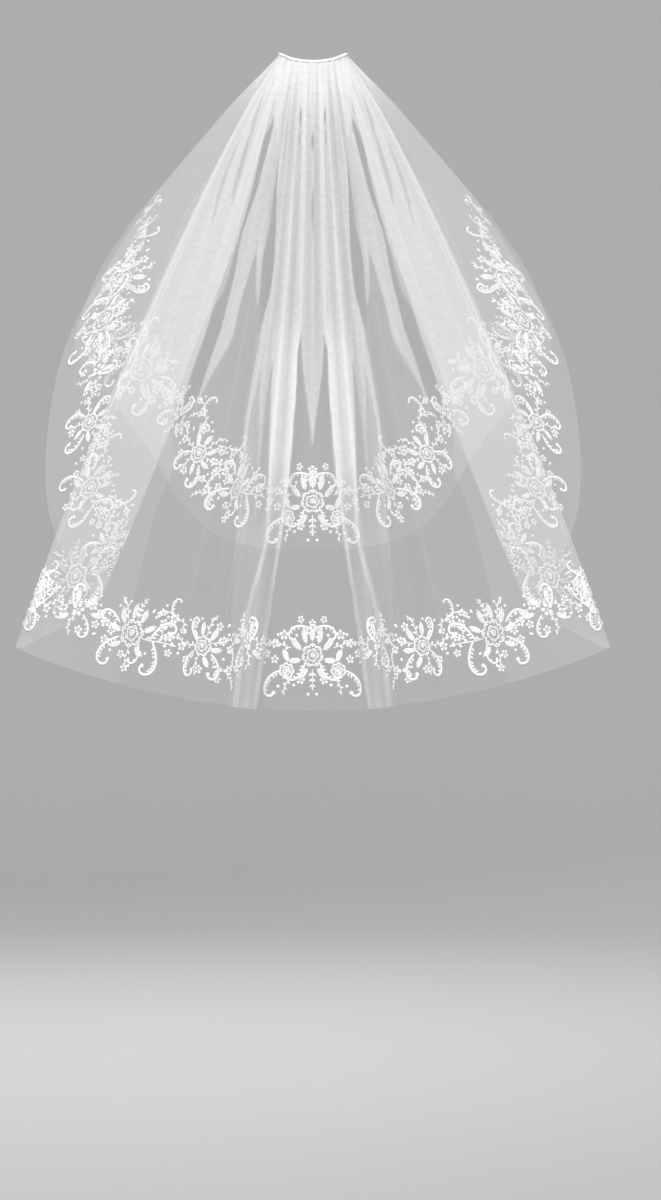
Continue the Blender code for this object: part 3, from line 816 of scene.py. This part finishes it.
def branch(motif, points, leaves, length, pairs):
    # a stem with small leaves along it, alternating or in pairs, and one at its tip
    stitchLine(motif, points, lace["fine"])
    for index in range(leaves):
        place = (index + 0.7) / leaves * (len(points) - 1)
        start = min(int(place), len(points) - 2)
        (x1, y1), (x2, y2) = points[start], points[start + 1]
        x, y = x1 + (x2 - x1) * (place - start), y1 + (y2 - y1) * (place - start)
        heading = headingTo(points[start], points[start + 1])
        for way in (1, -1) if pairs else ((1,) if index % 2 else (-1,)):
            size = length * (1 - 0.35 * index / leaves)
            bud(motif, x, y, size, size * 0.52, heading + way * lace["spread"])
    bud(motif, *points[-1], length * 0.8, length * 0.42, headingTo(points[-2], points[-1]))


def scroll(motif, points, teeth, side, width):
    # a thick curl with a knob at its end and, inside it, a comb of small stitches
    stitchLine(motif, points, lace["thick"] * width, (0.5, 0.95))
    satinPad(motif, *points[-1], lace["knob"] * width, lace["knob"] * width, 0, 0, 8)
    for tooth in range(teeth):
        place = int((0.10 + 0.55 * tooth / max(teeth - 1, 1)) * (len(points) - 2))
        heading = headingTo(points[place], points[place + 1]) + side * 58
        bud(motif, *points[place], *(size * width for size in lace["tooth"]), heading)


# What each motif holds, by x and y, and then: a rose's or a flower's radius and turn, a leaf's length, width,
# turn and bend, a bud's turn. A branch or a scroll starts with its line, as curlPoints has it. A branch goes
# on with how many leaves, their length and whether they are in pairs, and a scroll with how many teeth, their
# side and how thick it is.
bigSpray = {
    "roses": ((0, 57, 15.5, 15),),
    "leaves": (
        (3, 72, 18, 8, 78, 1.4), (-8, 70, 16, 7.5, 124, -1.6), (13, 66, 18, 8, 44, 1.6),
        (-15, 62, 14, 6.5, 160, -1.4), (17, 57, 15, 7, 2, 1.8), (12, 45, 15, 6.5, -40, 1.4),
        (-9, 43, 13, 6.5, 230, -1.6),
    ),
    "branches": (
        (-3, 73, 98, 24, -1.2, 4.0, 1.5, 9, 4, 6.2, True),
        (10, 71, 58, 26, 1.6, -4.0, 1.5, 10, 6, 6.2, False),
        (-15, 54, 188, 38, -0.9, 1.0, 1.5, 13, 5, 6.4, False),
        (-34, 56, 160, 24, -1.6, 4.0, 1.5, 9, 5, 6.2, False),
        (18, 60, 14, 34, -1.4, 4.0, 1.5, 12, 7, 6.4, False),
        (-1, 41, 272, 22, 1.4, -5.0, 1.5, 9, 4, 6.0, False),
    ),
    "scrolls": (
        (-25, 53, 112, 52, 0.2, 13.0, 2.3, 24, 6, 1, 1.0),
        (-30, 51, 232, 58, 1.0, 12.5, 2.6, 26, 7, 1, 1.0),
        (-13, 47, 246, 34, 1.0, 15.0, 2.4, 20, 3, 1, 0.8),
        (17, 50, -26, 60, -0.9, -11.5, 2.5, 26, 7, -1, 1.0),
        (22, 66, 42, 40, -0.6, -14.5, 2.3, 22, 4, -1, 0.9),
    ),
    "flowers": (
        (-46, 62, 6.4, 10), (-37, 76, 5.6, 30), (30, 54, 6.0, 40), (41, 61, 6.4, 0), (52, 55, 5.4, 20),
        (35, 42, 5.6, 12), (-2, 17, 5.6, 0), (-50, 44, 5.0, 25), (8, 31, 5.2, 40),
    ),
    "balls": (
        (-52, 55), (-44, 51), (-40, 84), (-29, 83), (46, 70), (28, 84), (24, 32), (-24, 38), (14, 92),
        (-22, 66), (56, 64),
    ),
    "buds": ((-20, 84, 120), (22, 88, 60), (-6, 24, 250), (47, 46, -30), (36, 70, 30), (-31, 68, 140)),
}
smallSpray = {
    "roses": ((0, 52, 11.5, 40),),
    "leaves": (
        (-2, 63, 14, 7, 104, -1.2), (9, 59, 15, 7, 46, 1.6), (-9, 57, 13, 6.5, 142, -1.6),
        (11, 49, 13, 6.5, -10, 1.6), (4, 41, 12, 6, -66, 1.2),
    ),
    "branches": (
        (4, 63, 74, 24, 1.4, -4.0, 1.5, 9, 5, 6.0, False),
        (-11, 51, 178, 30, 1.2, -5.0, 1.5, 10, 6, 6.2, False),
        (11, 56, 18, 32, -1.2, 4.0, 1.5, 11, 6, 6.2, False),
        (-3, 41, 256, 20, -1.4, 5.0, 1.5, 8, 4, 5.8, False),
    ),
    "scrolls": (
        (-10, 46, 212, 50, 1.4, 13.5, 2.5, 24, 6, 1, 1.0),
        (12, 44, -30, 46, -1.4, -13.0, 2.4, 22, 5, -1, 1.0),
        (-11, 58, 150, 38, -1.2, -14.5, 2.3, 20, 4, -1, 0.85),
    ),
    "flowers": (
        (26, 60, 6.0, 0), (37, 52, 5.4, 15), (-33, 47, 5.8, 20), (19, 76, 5.4, 10), (-24, 33, 5.2, 0),
        (0, 25, 5.4, 20), (-18, 74, 5.0, 30),
    ),
    "balls": ((33, 68), (42, 60), (-40, 55), (-36, 38), (10, 84), (-8, 82), (30, 40), (10, 30)),
    "buds": ((29, 76, 50), (-30, 62, 140), (20, 24, 300), (-42, 46, 190)),
}
sprig = {
    "branches": (
        (-30, 46, 22, 60, 0.9, -4.0, 1.6, 18, 12, 6.6, False),
        (0, 50, 252, 26, -1.6, 6.0, 1.5, 9, 6, 6.0, False),
        (6, 56, 66, 28, -1.2, 4.0, 1.5, 10, 6, 6.0, True),
    ),
    "scrolls": (
        (-5, 54, 128, 40, -1.0, -14.0, 2.4, 20, 5, -1, 0.9),
        (8, 49, -34, 38, -1.2, -14.0, 2.4, 20, 4, -1, 0.9),
    ),
    "flowers": (
        (0, 53, 8.0, 12), (16, 63, 6.4, 40), (-17, 44, 6.2, 0), (8, 31, 5.4, 20), (-26, 57, 5.4, 5),
        (28, 56, 5.2, 30),
    ),
    "leaves": (
        (-3, 61, 14, 6, 104, -0.6), (8, 60, 14, 6, 44, 0.6), (16, 53, 14, 6, -8, 0.8),
        (-9, 45, 14, 6, 222, -0.8),
    ),
    "balls": ((-33, 53), (-24, 36), (25, 66), (34, 48), (-10, 74), (22, 76)),
}
twig = {  # fills in between the larger motifs
    "branches": (
        (-22, 52, 14, 46, 1.4, -4.0, 1.5, 14, 9, 6.4, False),
        (-4, 54, -38, 22, 1.5, -5.0, 1.5, 8, 4, 5.8, False),
    ),
    "scrolls": ((4, 61, 72, 30, 0.6, 15.0, 2.4, 18, 4, 1, 0.75),),
    "flowers": ((0, 57, 6.4, 25), (17, 62, 5.2, 0), (-16, 45, 5.0, 10)),
    "balls": ((10, 45), (-24, 60), (24, 54), (14, 72)),
}
# The motif at the centre back is two sides that mirror each other and a stem, with y counted up from its top
middleSide = {
    "roses": ((31, -62, 8.5, 30),),
    "leaves": (
        (7, -31, 16, 7, 64, 1.4), (13, -38, 17, 7.5, 28, 1.6), (30, -52, 13, 6.5, 76, -1.4),
        (14, -49, 13, 6.5, -18, 1.4), (6, -58, 16, 7, -64, 1.6),
    ),
    "scrolls": (
        (2, -14, 22, 44, -1.2, -13.0, 2.4, 22, 5, -1, 0.85),
        (39, -62, -24, 48, -1.2, -12.5, 2.6, 24, 6, -1, 1.0),
        (9, -52, -80, 44, 1.2, 13.5, 2.4, 22, 5, 1, 0.9),
    ),
    "branches": (
        (26, -36, 8, 34, 1.4, -4.0, 1.5, 12, 7, 6.4, False),
        (27, -70, -64, 17, 1.6, -5.0, 1.5, 8, 4, 5.4, False),
        (10, -28, 112, 18, -1.4, 4.0, 1.5, 8, 4, 5.8, False),
    ),
    "flowers": (
        (36, -22, 6.2, 18), (47, -32, 5.6, 0), (57, -44, 5.6, 10), (14, -72, 5.6, 30), (46, -50, 5.2, 20),
        (15, -4, 4.8, 40),
    ),
    "balls": ((26, -14), (44, -22), (54, -34), (60, -54), (40, -80), (5, -88), (20, -22), (22, -78)),
}
middleStem = {
    "roses": ((0, -44, 12.5, 90),),
    "leaves": ((0, -29, 15, 7.5, 90, 0),),
    "branches": ((0, -59, -90, 20, 0, 0, 1, 9, 3, 6.4, True),),
    "flowers": ((0, -8, 5.0, 90),),
}


def drawPlan(motif, plan, way, top):
    # way is -1 for the other side of a mirrored motif
    def turned(angle):
        return angle if way > 0 else 180 - angle

    def curled(x, y, *bends):
        return [(way * x, y) for x, y in curlPoints(x, y + top, *bends)]

    for x, y, radius, turn in plan.get("roses", ()):
        rose(motif, way * x, y + top, radius, turned(turn))
    for x, y, length, width, turn, bend in plan.get("leaves", ()):
        leaf(motif, way * x, y + top, length, width, turned(turn), way * bend)
    for *curl, leaves, length, pairs in plan["branches"]:
        branch(motif, curled(*curl), leaves, length, pairs)
    for *curl, teeth, side, width in plan.get("scrolls", ()):
        scroll(motif, curled(*curl), teeth, way * side, width)
    for x, y, radius, turn in plan["flowers"]:
        daisy(motif, way * x, y + top, radius, turned(turn))
    for x, y in plan.get("balls", ()):
        satinPad(motif, way * x, y + top, lace["ball"], lace["ball"], 0, 0, 7)
    for x, y, turn in plan.get("buds", ()):
        bud(motif, way * x, y + top, *lace["bud"], turned(turn))


def tubeMesh(name, lines, width, facets, twist="MINIMUM", closed=False):
    # round tubes along lines of x, y, z and how thick they are there
    curve = bpy.data.curves.new(name, "CURVE")
    curve.dimensions = "3D"
    curve.twist_mode = twist
    curve.bevel_depth = width
    curve.bevel_resolution = facets
    curve.use_fill_caps = True
    for line in lines:
        spline = curve.splines.new("POLY")
        spline.points.add(len(line) - 1)
        for point, (x, y, z, radius) in zip(spline.points, line):
            point.co = (x, y, z, 1)
            point.radius = radius
        spline.use_cyclic_u = closed
    drawn = bpy.data.objects.new(name, curve)
    scene.collection.objects.link(drawn)
    bpy.context.view_layer.update()
    mesh = bpy.data.meshes.new_from_object(drawn.evaluated_get(bpy.context.evaluated_depsgraph_get()))
    bpy.data.objects.remove(drawn)
    mesh.name = name
    return mesh


def motifMesh(name, *plans):
    motif = {"lines": [], "pads": bmesh.new()}
    for plan, way, top in plans:
        drawPlan(motif, plan, way, top)
    lines = []
    for points, width, (start, end) in motif["lines"]:
        line = []
        for (x, y), place in zip(points, np.linspace(0, 1, len(points))):
            least = start + (end - start) * place
            line.append((x, y, 0, width * (least + (1 - least) * abs(math.sin(math.pi * place)) ** 0.5)))
        lines.append(line)
    stitched = tubeMesh(name + "Lines", lines, 1.0, 0, twist="Z_UP")
    stitched.transform(Matrix.Diagonal((1, 1, lace["flatness"], 1)))
    stitched.transform(Matrix.Translation((0, 0, lace["thick"] * lace["flatness"] * 0.6)))
    motif["pads"].from_mesh(stitched)
    bpy.data.meshes.remove(stitched)
    return meshFrom(motif["pads"], name)


motifs = {}
for name, plan in (("bigSpray", bigSpray), ("smallSpray", smallSpray), ("sprig", sprig), ("twig", twig)):
    motifs[name] = motifMesh(name, (plan, 1, 0))
for name, top in (("longMiddle", 106), ("shortMiddle", 97)):
    motifs[name] = motifMesh(name, (middleSide, 1, top), (middleSide, -1, top), (middleStem, 1, top))
print("motifs drawn")

# Where each motif is worked on the left half, which the right half mirrors: cm along the cut edge from the
# centre back, cm up from the edge, its size, and 1 or -1 as it is worked one way round or the other
longTier["lace"] = (
    ("sprig", 9.9, 2.0, 1.0, 1),
    ("twig", 13.4, -1.4, 0.9, -1),
    ("smallSpray", 17.4, 1.0, 1.0, -1),
    ("twig", 22.4, 3.4, 0.9, 1),
    ("bigSpray", 27.2, 0.2, 1.0, 1),
    ("sprig", 35.0, 1.4, 1.0, -1),
    ("smallSpray", 42.4, 0.8, 1.0, 1),
    ("twig", 47.2, 2.8, 0.9, -1),
    ("bigSpray", 52.6, 0.0, 1.0, -1),
    ("twig", 57.6, 3.2, 0.9, 1),
    ("smallSpray", 62.2, 0.6, 1.0, 1),
    ("twig", 66.6, 3.4, 1.0, -1),
    ("bigSpray", 72.0, 0.8, 1.0, 1),
    ("twig", 77.4, 4.0, 1.0, 1),
    ("smallSpray", 82.2, 1.8, 1.15, -1),
    ("sprig", 90.4, 2.0, 1.25, 1),
    ("bigSpray", 99.6, 0.2, 1.3, -1),
    ("sprig", 109.0, 0.6, 1.2, 1),
    ("twig", 116.8, 0.6, 1.2, -1),
)
shortTier["lace"] = (
    ("bigSpray", 12.4, 0.3, 1.0, 1),
    ("twig", 17.4, 3.6, 0.9, -1),
    ("twig", 17.0, -1.8, 0.9, 1),
    ("smallSpray", 21.4, 0.2, 1.0, -1),
    ("twig", 25.4, 3.6, 0.9, 1),
    ("sprig", 28.6, 0.4, 1.0, 1),
    ("bigSpray", 36.4, -0.4, 1.0, -1),
    ("twig", 41.2, 3.4, 0.9, 1),
    ("smallSpray", 45.0, -0.4, 1.0, 1),
    ("smallSpray", 54.4, 0.4, 1.2, 1),
    ("twig", 61.4, 1.0, 1.2, -1),
    ("twig", 67.4, -0.6, 1.1, 1),
)
laying = {  # in m
    "edgeMargin": 0.0015,  # no stitch comes nearer the cut edge
    "hemMargin": 0.001,
    "nearest": 0.01,  # to the comb
    "probe": 0.0015,  # step to the side and down that gives the way the cloth faces
}


def clothOf(tier, places, radii):
    height, _ = creaseField(tier, places, radii)
    return hangingCloth(tier, places, radii, height)


def layOnCloth(tier, edge, up, height):
    # from mm along the cut edge, up from it and above the net, to a place on the hanging cloth
    even = tier["even"]
    along = np.clip(np.abs(edge) / 1000, 0, even[-1])
    inside = np.maximum(up / 1000, laying["edgeMargin"])
    footX, footY = (np.interp(along, even, numbers) for numbers in tier["edgeLine"].T)
    slopeX, slopeY = (np.interp(along, even, numbers) for numbers in tier["edgeSlope"].T)
    cutX, cutY = footX - slopeY * inside, footY + slopeX * inside
    fan = np.clip(np.arctan2(cutX, -cutY), -tier["fanFine"][-1], tier["fanFine"][-1])
    fan = np.where(edge < 0, -fan, fan)
    place = placeAt(tier, fan)
    radius = np.maximum(np.hypot(cutX, cutY), laying["nearest"])
    radius = np.minimum(radius, alongFolds(tier, "reach", np.abs(place)) - laying["hemMargin"])
    here = clothOf(tier, place, radius)
    across = clothOf(tier, placeAt(tier, fan + laying["probe"] / radius), radius) - here
    down = clothOf(tier, place, radius + laying["probe"]) - here
    out = np.cross(across, down)
    out /= np.maximum(np.linalg.norm(out, axis=1), 1e-12)[:, None]
    return here + out * (height / 1000)[:, None]


def laceBorder(tier, middle, material):
    flat = bmesh.new()
    for name, edge, up, size, way in ((middle, 0, 0, 1.0, 0), *tier["lace"]):
        for side in (1, -1) if way else (1,):
            worked = motifs[name].copy()
            mirror = side * way if way else 1
            worked.transform(Matrix.Diagonal((mirror * size, size, 1, 1)))
            worked.transform(Matrix.Translation((side * edge * 10, up * 10, 0)))
            if mirror < 0:
                worked.flip_normals()
            flat.from_mesh(worked)
            bpy.data.meshes.remove(worked)
    mesh = meshFrom(flat, tier["name"] + "Lace")
    edge, up, height = vertexPlaces(mesh).T
    mesh.vertices.foreach_set("co", layOnCloth(tier, edge, up, height + lace["lift"]).ravel())
    print(mesh.name, sum(len(face.vertices) - 2 for face in mesh.polygons), "triangles")
    return newPiece(mesh, tier["name"] + "Lace", material)


embroidery = {
    "colour": (0.955, 0.955, 0.95),
    # the stitches' grooves are darker: painted shade, on the same pattern as the bump
    "shade": (0.88, 0.88, 0.88),
    "roughness": 0.5,
    "sheen": 0.25,
    "stitches": 1700 / 6,  # scale of the wave pattern
    "bump": (0.35, 0.0003),
}


def embroideryMaterial():
    material, tree, shader = newMaterial("embroideryThread")
    stitches = newNode(tree, "TexWave", {
        "Vector": objectPlace(tree), "Scale": embroidery["stitches"], "Distortion": 6.0, "Detail": 1.0,
    })
    stitches.bands_direction = "DIAGONAL"
    feed(tree, shader, {
        "Base Color": colourNode(tree, stitches.outputs["Fac"], embroidery["shade"], embroidery["colour"]),
        "Normal": bumpNode(tree, stitches.outputs["Fac"], *embroidery["bump"]),
        "Roughness": embroidery["roughness"],
        "Sheen Weight": embroidery["sheen"],
    })
    return material


thread = embroideryMaterial()
longLace = laceBorder(longTier, "longMiddle", thread)
shortLace = laceBorder(shortTier, "shortMiddle", thread)
for piece, node in ((longLace, "long_lace_border"), (shortLace, "short_lace_border")):
    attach(piece, "root")
    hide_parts(node)
for piece, node, size, area, border in (
    (longTulle, "long_tier", (1.50, 0.77), 0.86, longLace),
    (shortTulle, "short_tier", (0.98, 0.58), 0.34, shortLace),
):
    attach(piece, "root")
    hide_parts(node)


binding = {
    "columns": 260,
    "wall": 0.00045,
    "around": (  # the ribbon from its back edge over the top to its front edge, in mm
        (-7.6, -1.5), (-9.0, -1.2), (-9.4, -0.4), (-9.0, 0.3), (-8.2, 0.7), (-7.0, 0.9), (-4.0, 1.0),
        (-0.5, 1.0), (2.6, 0.9), (4.4, 0.6), (5.4, 0.0), (5.9, -1.0), (6.0, -2.3), (5.9, -3.6),
    ),
    "back": (0.29, 0.85),  # how much of that depth it has behind, in the middle and round the folded sides
    "backTurn": (0.66, 0.20),  # share of the half comb where it deepens, and over how much
    "gathers": 57,
    "gatherDepth": 0.16,  # mm
    "gatherDrift": (1.7, 0.31),
    "overhang": 0.7,
    "endRound": 2.6,
    "colour": (0.93, 0.93, 0.925),
    # darker in the ribs' grooves: painted shade, on the same pattern as the bump
    "shade": (0.82, 0.82, 0.82),
    "ribs": (900, 2600, 2600),  # fine ribs along the ribbon
    "bump": (0.25, 0.0001),
    "roughness": 0.38,
    "sheen": 0.3,
}


def ribbonBack(x):
    # x in mm
    middle, sides = binding["back"]
    start, over = binding["backTurn"]
    return middle + (sides - middle) * float(ease((abs(x) / 1000 / halfComb - start) / over))


def atBinding(x, y, z):
    # x in m, y and z in mm from the comb's line
    back = float(backDepth(np.array(x), np.array(max(-z / 1000, 0.0))))
    return (x, back + y / 1000, combRise(x) + z / 1000)


def ribbonBinding(material):
    # a narrow satin ribbon folded over the raw edges of both tiers, a little rippled by its stitching
    count, around = binding["columns"], np.array(binding["around"])
    shape = bmesh.new()
    bmesh.ops.create_grid(shape, x_segments=count - 1, y_segments=len(around) - 1, size=1.0)
    half = halfComb * 1000 + binding["overhang"]
    middle = around.mean(axis=0)
    drift, driftTimes = binding["gatherDrift"]
    for vert in shape.verts:
        x = vert.co.x * half
        y, z = around[round((vert.co.y + 1) / 2 * (len(around) - 1))]
        y = y * ribbonBack(x) if y < 0 else y
        ending = max(0.0, (abs(x) - half + binding["endRound"]) / binding["endRound"])
        shrink = max(math.sqrt(max(1 - ending**2, 0.0)), 0.25)
        y, z = middle[0] + (y - middle[0]) * shrink, middle[1] + (z - middle[1]) * shrink
        ripple = math.sin(math.pi * binding["gathers"] * x / half + drift * math.sin(driftTimes * x))
        out = np.array([y - middle[0], (z - middle[1]) * 2.5])
        out = out / np.linalg.norm(out) * binding["gatherDepth"] * ripple
        vert.co = atBinding(x / 1000, y + out[0], z + out[1])
    bmesh.ops.recalc_face_normals(shape, faces=shape.faces)
    bmesh.ops.solidify(shape, geom=shape.faces[:], thickness=-binding["wall"])
    bmesh.ops.recalc_face_normals(shape, faces=shape.faces)
    return newPiece(meshFrom(shape, "gatherRibbon"), "gatherRibbon", material)


def satinMaterial():
    material, tree, shader = newMaterial("satinRibbon")
    stretched = newNode(tree, "Mapping", {0: objectPlace(tree), "Scale": binding["ribs"]}).outputs[0]
    ribs = noiseNode(tree, stretched, 1.0).outputs["Fac"]
    feed(tree, shader, {
        "Base Color": colourNode(tree, ribs, binding["shade"], binding["colour"]),
        "Normal": bumpNode(tree, ribs, *binding["bump"]),
        "Roughness": binding["roughness"],
        "Sheen Weight": binding["sheen"],
    })
    return material


sewing = {
    "stitches": 34,
    "thread": 0.00022,
    "stitch": (  # shift along the ribbon, depth and height in mm
        (-0.5, -8.0, -2.2), (-0.4, -8.8, -2.0), (-0.1, -9.4, -1.5), (0.3, -9.6, -0.9), (0.5, -9.5, -0.5),
    ),
    "loops": 10,
    "loopThread": 0.00028,
    "loopSteps": 20,
    "loopMiddle": (7.3, -4.5),  # depth and height in mm
    "loopSize": (2.5, 5.6),
    "combEnd": 0.0015,
    "teeth": 20,
}


def ribbonStitches(material):
    # small slanted stitches over the ribbon's lower edge, through both tiers
    lines = []
    for stitch in range(sewing["stitches"]):
        x = halfComb * 0.97 * (2 * (stitch + 0.5) / sewing["stitches"] - 1)
        lines.append([
            (*atBinding(x + shift / 1000, y * ribbonBack(x * 1000) - 0.25, z), 1.0)
            for shift, y, z in sewing["stitch"]
        ])
    mesh = tubeMesh("ribbonStitches", lines, sewing["thread"], 1)
    return newPiece(mesh, "ribbonStitches", material)


def combLoops(material):
    # thread whipped round the comb's spine between its teeth, which holds it to the ribbon
    reach = halfComb - sewing["combEnd"]
    (middleY, middleZ), (sizeY, sizeZ) = sewing["loopMiddle"], sewing["loopSize"]
    lines = []
    for loop in range(sewing["loops"]):
        slot = (sewing["teeth"] - 2) * loop // (sewing["loops"] - 1)
        x = -reach + 2 * reach / (2 * sewing["teeth"] - 1) * (2 * slot + 1.5)
        for turn in (-0.5, 0.5):
            line = []
            for step in range(sewing["loopSteps"]):
                angle = 2 * math.pi * step / sewing["loopSteps"]
                y, z = middleY + sizeY * math.cos(angle), middleZ + sizeZ * math.sin(angle)
                line.append((*atBinding(x + 0.0005 * turn + 0.0004 * math.sin(angle), y - 0.1 * z, z), 1.0))
            lines.append(line)
    mesh = tubeMesh("combThread", lines, sewing["loopThread"], 1, closed=True)
    return newPiece(mesh, "combThread", material)


combFinish = {
    "colour": (0.90, 0.90, 0.875),
    "worn": (0.80, 0.80, 0.76),
    "roughness": (0.22, 0.42),
    "clouds": 120.0,
    "grain": 1500.0,
    "bump": (0.12, 0.0001),
    "clear": 0.25,
}


def combMaterial():
    # moulded plastic, milky, a little cloudy and more matt in places
    material, tree, shader = newMaterial("combPlastic")
    place = objectPlace(tree)
    clouds = noiseNode(tree, place, combFinish["clouds"], 4.0).outputs["Fac"]
    grain = noiseNode(tree, place, combFinish["grain"]).outputs["Fac"]
    least, most = combFinish["roughness"]
    matt = newNode(tree, "MapRange", {"Value": clouds, "To Min": least, "To Max": most})
    feed(tree, shader, {
        "Base Color": colourNode(tree, clouds, combFinish["worn"], combFinish["colour"]),
        "Roughness": matt.outputs[0],
        "Normal": bumpNode(tree, grain, *combFinish["bump"]),
        "Transmission Weight": combFinish["clear"],
        "IOR": 1.49,
    })
    return material


ribbon = ribbonBinding(satinMaterial())
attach(ribbon, "root")
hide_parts("gather_binding")
for piece in (ribbonStitches(thread), combLoops(thread)):
    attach(piece, "root")
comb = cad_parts["comb"]
comb.data.materials.clear()
comb.data.materials.append(combMaterial())
print("ribbon, stitches and comb")


studio = {
    "floor": -1.60,
    "radius": 6.5,
    "sweep": 1.8,
    "wall": 2.2,
    "sweepSteps": 12,
    "turnSteps": 96,
    "tone": (0.32, 0.32, 0.325),
    "wallTone": (0.66, 0.66, 0.668),  # the far paper gets less light than the near floor, so it is paler
    "fade": (1.2, 5.2),  # m from the middle
    "roughness": 0.9,
    "sky": 0.55,
    "aim": (0, 0, -0.38),
    "lamps": (  # name, place, size in m, power in W
        ("keyLight", (-1.7, -2.9, 1.6), 2.0, 86),
        ("fillLight", (2.0, -2.8, 1.0), 2.4, 56),
        ("backLight", (-0.5, 2.9, 1.7), 2.0, 120),
    ),
}


def paperMaterial():
    material, tree, shader = newMaterial("studioPaper")
    away = vectorNode(tree, "LENGTH", objectPlace(tree)).outputs["Value"]
    near, far = studio["fade"]
    rise = newNode(tree, "MapRange", {"Value": away, "From Min": near, "From Max": far}).outputs[0]
    paper = colourNode(tree, rise, studio["tone"], studio["wallTone"])
    feed(tree, shader, {"Base Color": paper, "Roughness": studio["roughness"]})
    return material


def paleStudio():
    # a round floor with a swept-up rim, turned about the middle
    rim = bmesh.new()
    sweep, steps = studio["sweep"], studio["sweepSteps"]
    inner = studio["radius"] - sweep
    line = [(0.0, 0.0), (inner, 0.0)]
    for step in range(1, steps + 1):
        angle = math.radians(90 * step / steps)
        line.append((inner + sweep * math.sin(angle), sweep * (1 - math.cos(angle))))
    line.append((studio["radius"], studio["wall"] + sweep))
    verts = [rim.verts.new((x, 0, studio["floor"] + z)) for x, z in line]
    for start, end in zip(verts, verts[1:]):
        rim.edges.new((start, end))
    bmesh.ops.spin(
        rim, geom=rim.verts[:] + rim.edges[:], cent=(0, 0, 0), axis=(0, 0, 1), angle=2 * math.pi,
        steps=studio["turnSteps"], use_merge=True,
    )
    bmesh.ops.remove_doubles(rim, verts=rim.verts, dist=1e-5)
    bmesh.ops.recalc_face_normals(rim, faces=rim.faces)
    return newPiece(meshFrom(rim, "studioFloor"), "studioFloor", paperMaterial())


def studioLamps():
    for name, place, size, power in studio["lamps"]:
        data = bpy.data.lights.new(name, "AREA")
        data.shape = "DISK"
        data.size = size
        data.energy = power
        lamp = bpy.data.objects.new(name, data)
        lamp.location = place
        lamp.rotation_mode = "QUATERNION"
        lamp.rotation_quaternion = (Vector(studio["aim"]) - Vector(place)).to_track_quat("-Z", "Y")
        scene.collection.objects.link(lamp)
    world = bpy.data.worlds.new("studioSky")
    world.use_nodes = True
    sky = world.node_tree.nodes["Background"]
    sky.inputs[0].default_value = (1, 1, 1, 1)
    sky.inputs[1].default_value = studio["sky"]
    scene.world = world


paleStudio()
studioLamps()
scene.view_settings.view_transform = "Standard"
if hasattr(scene, "cycles"):
    scene.cycles.transparent_max_bounces = 32
    scene.cycles.max_bounces = 8
print("studio and lamps")
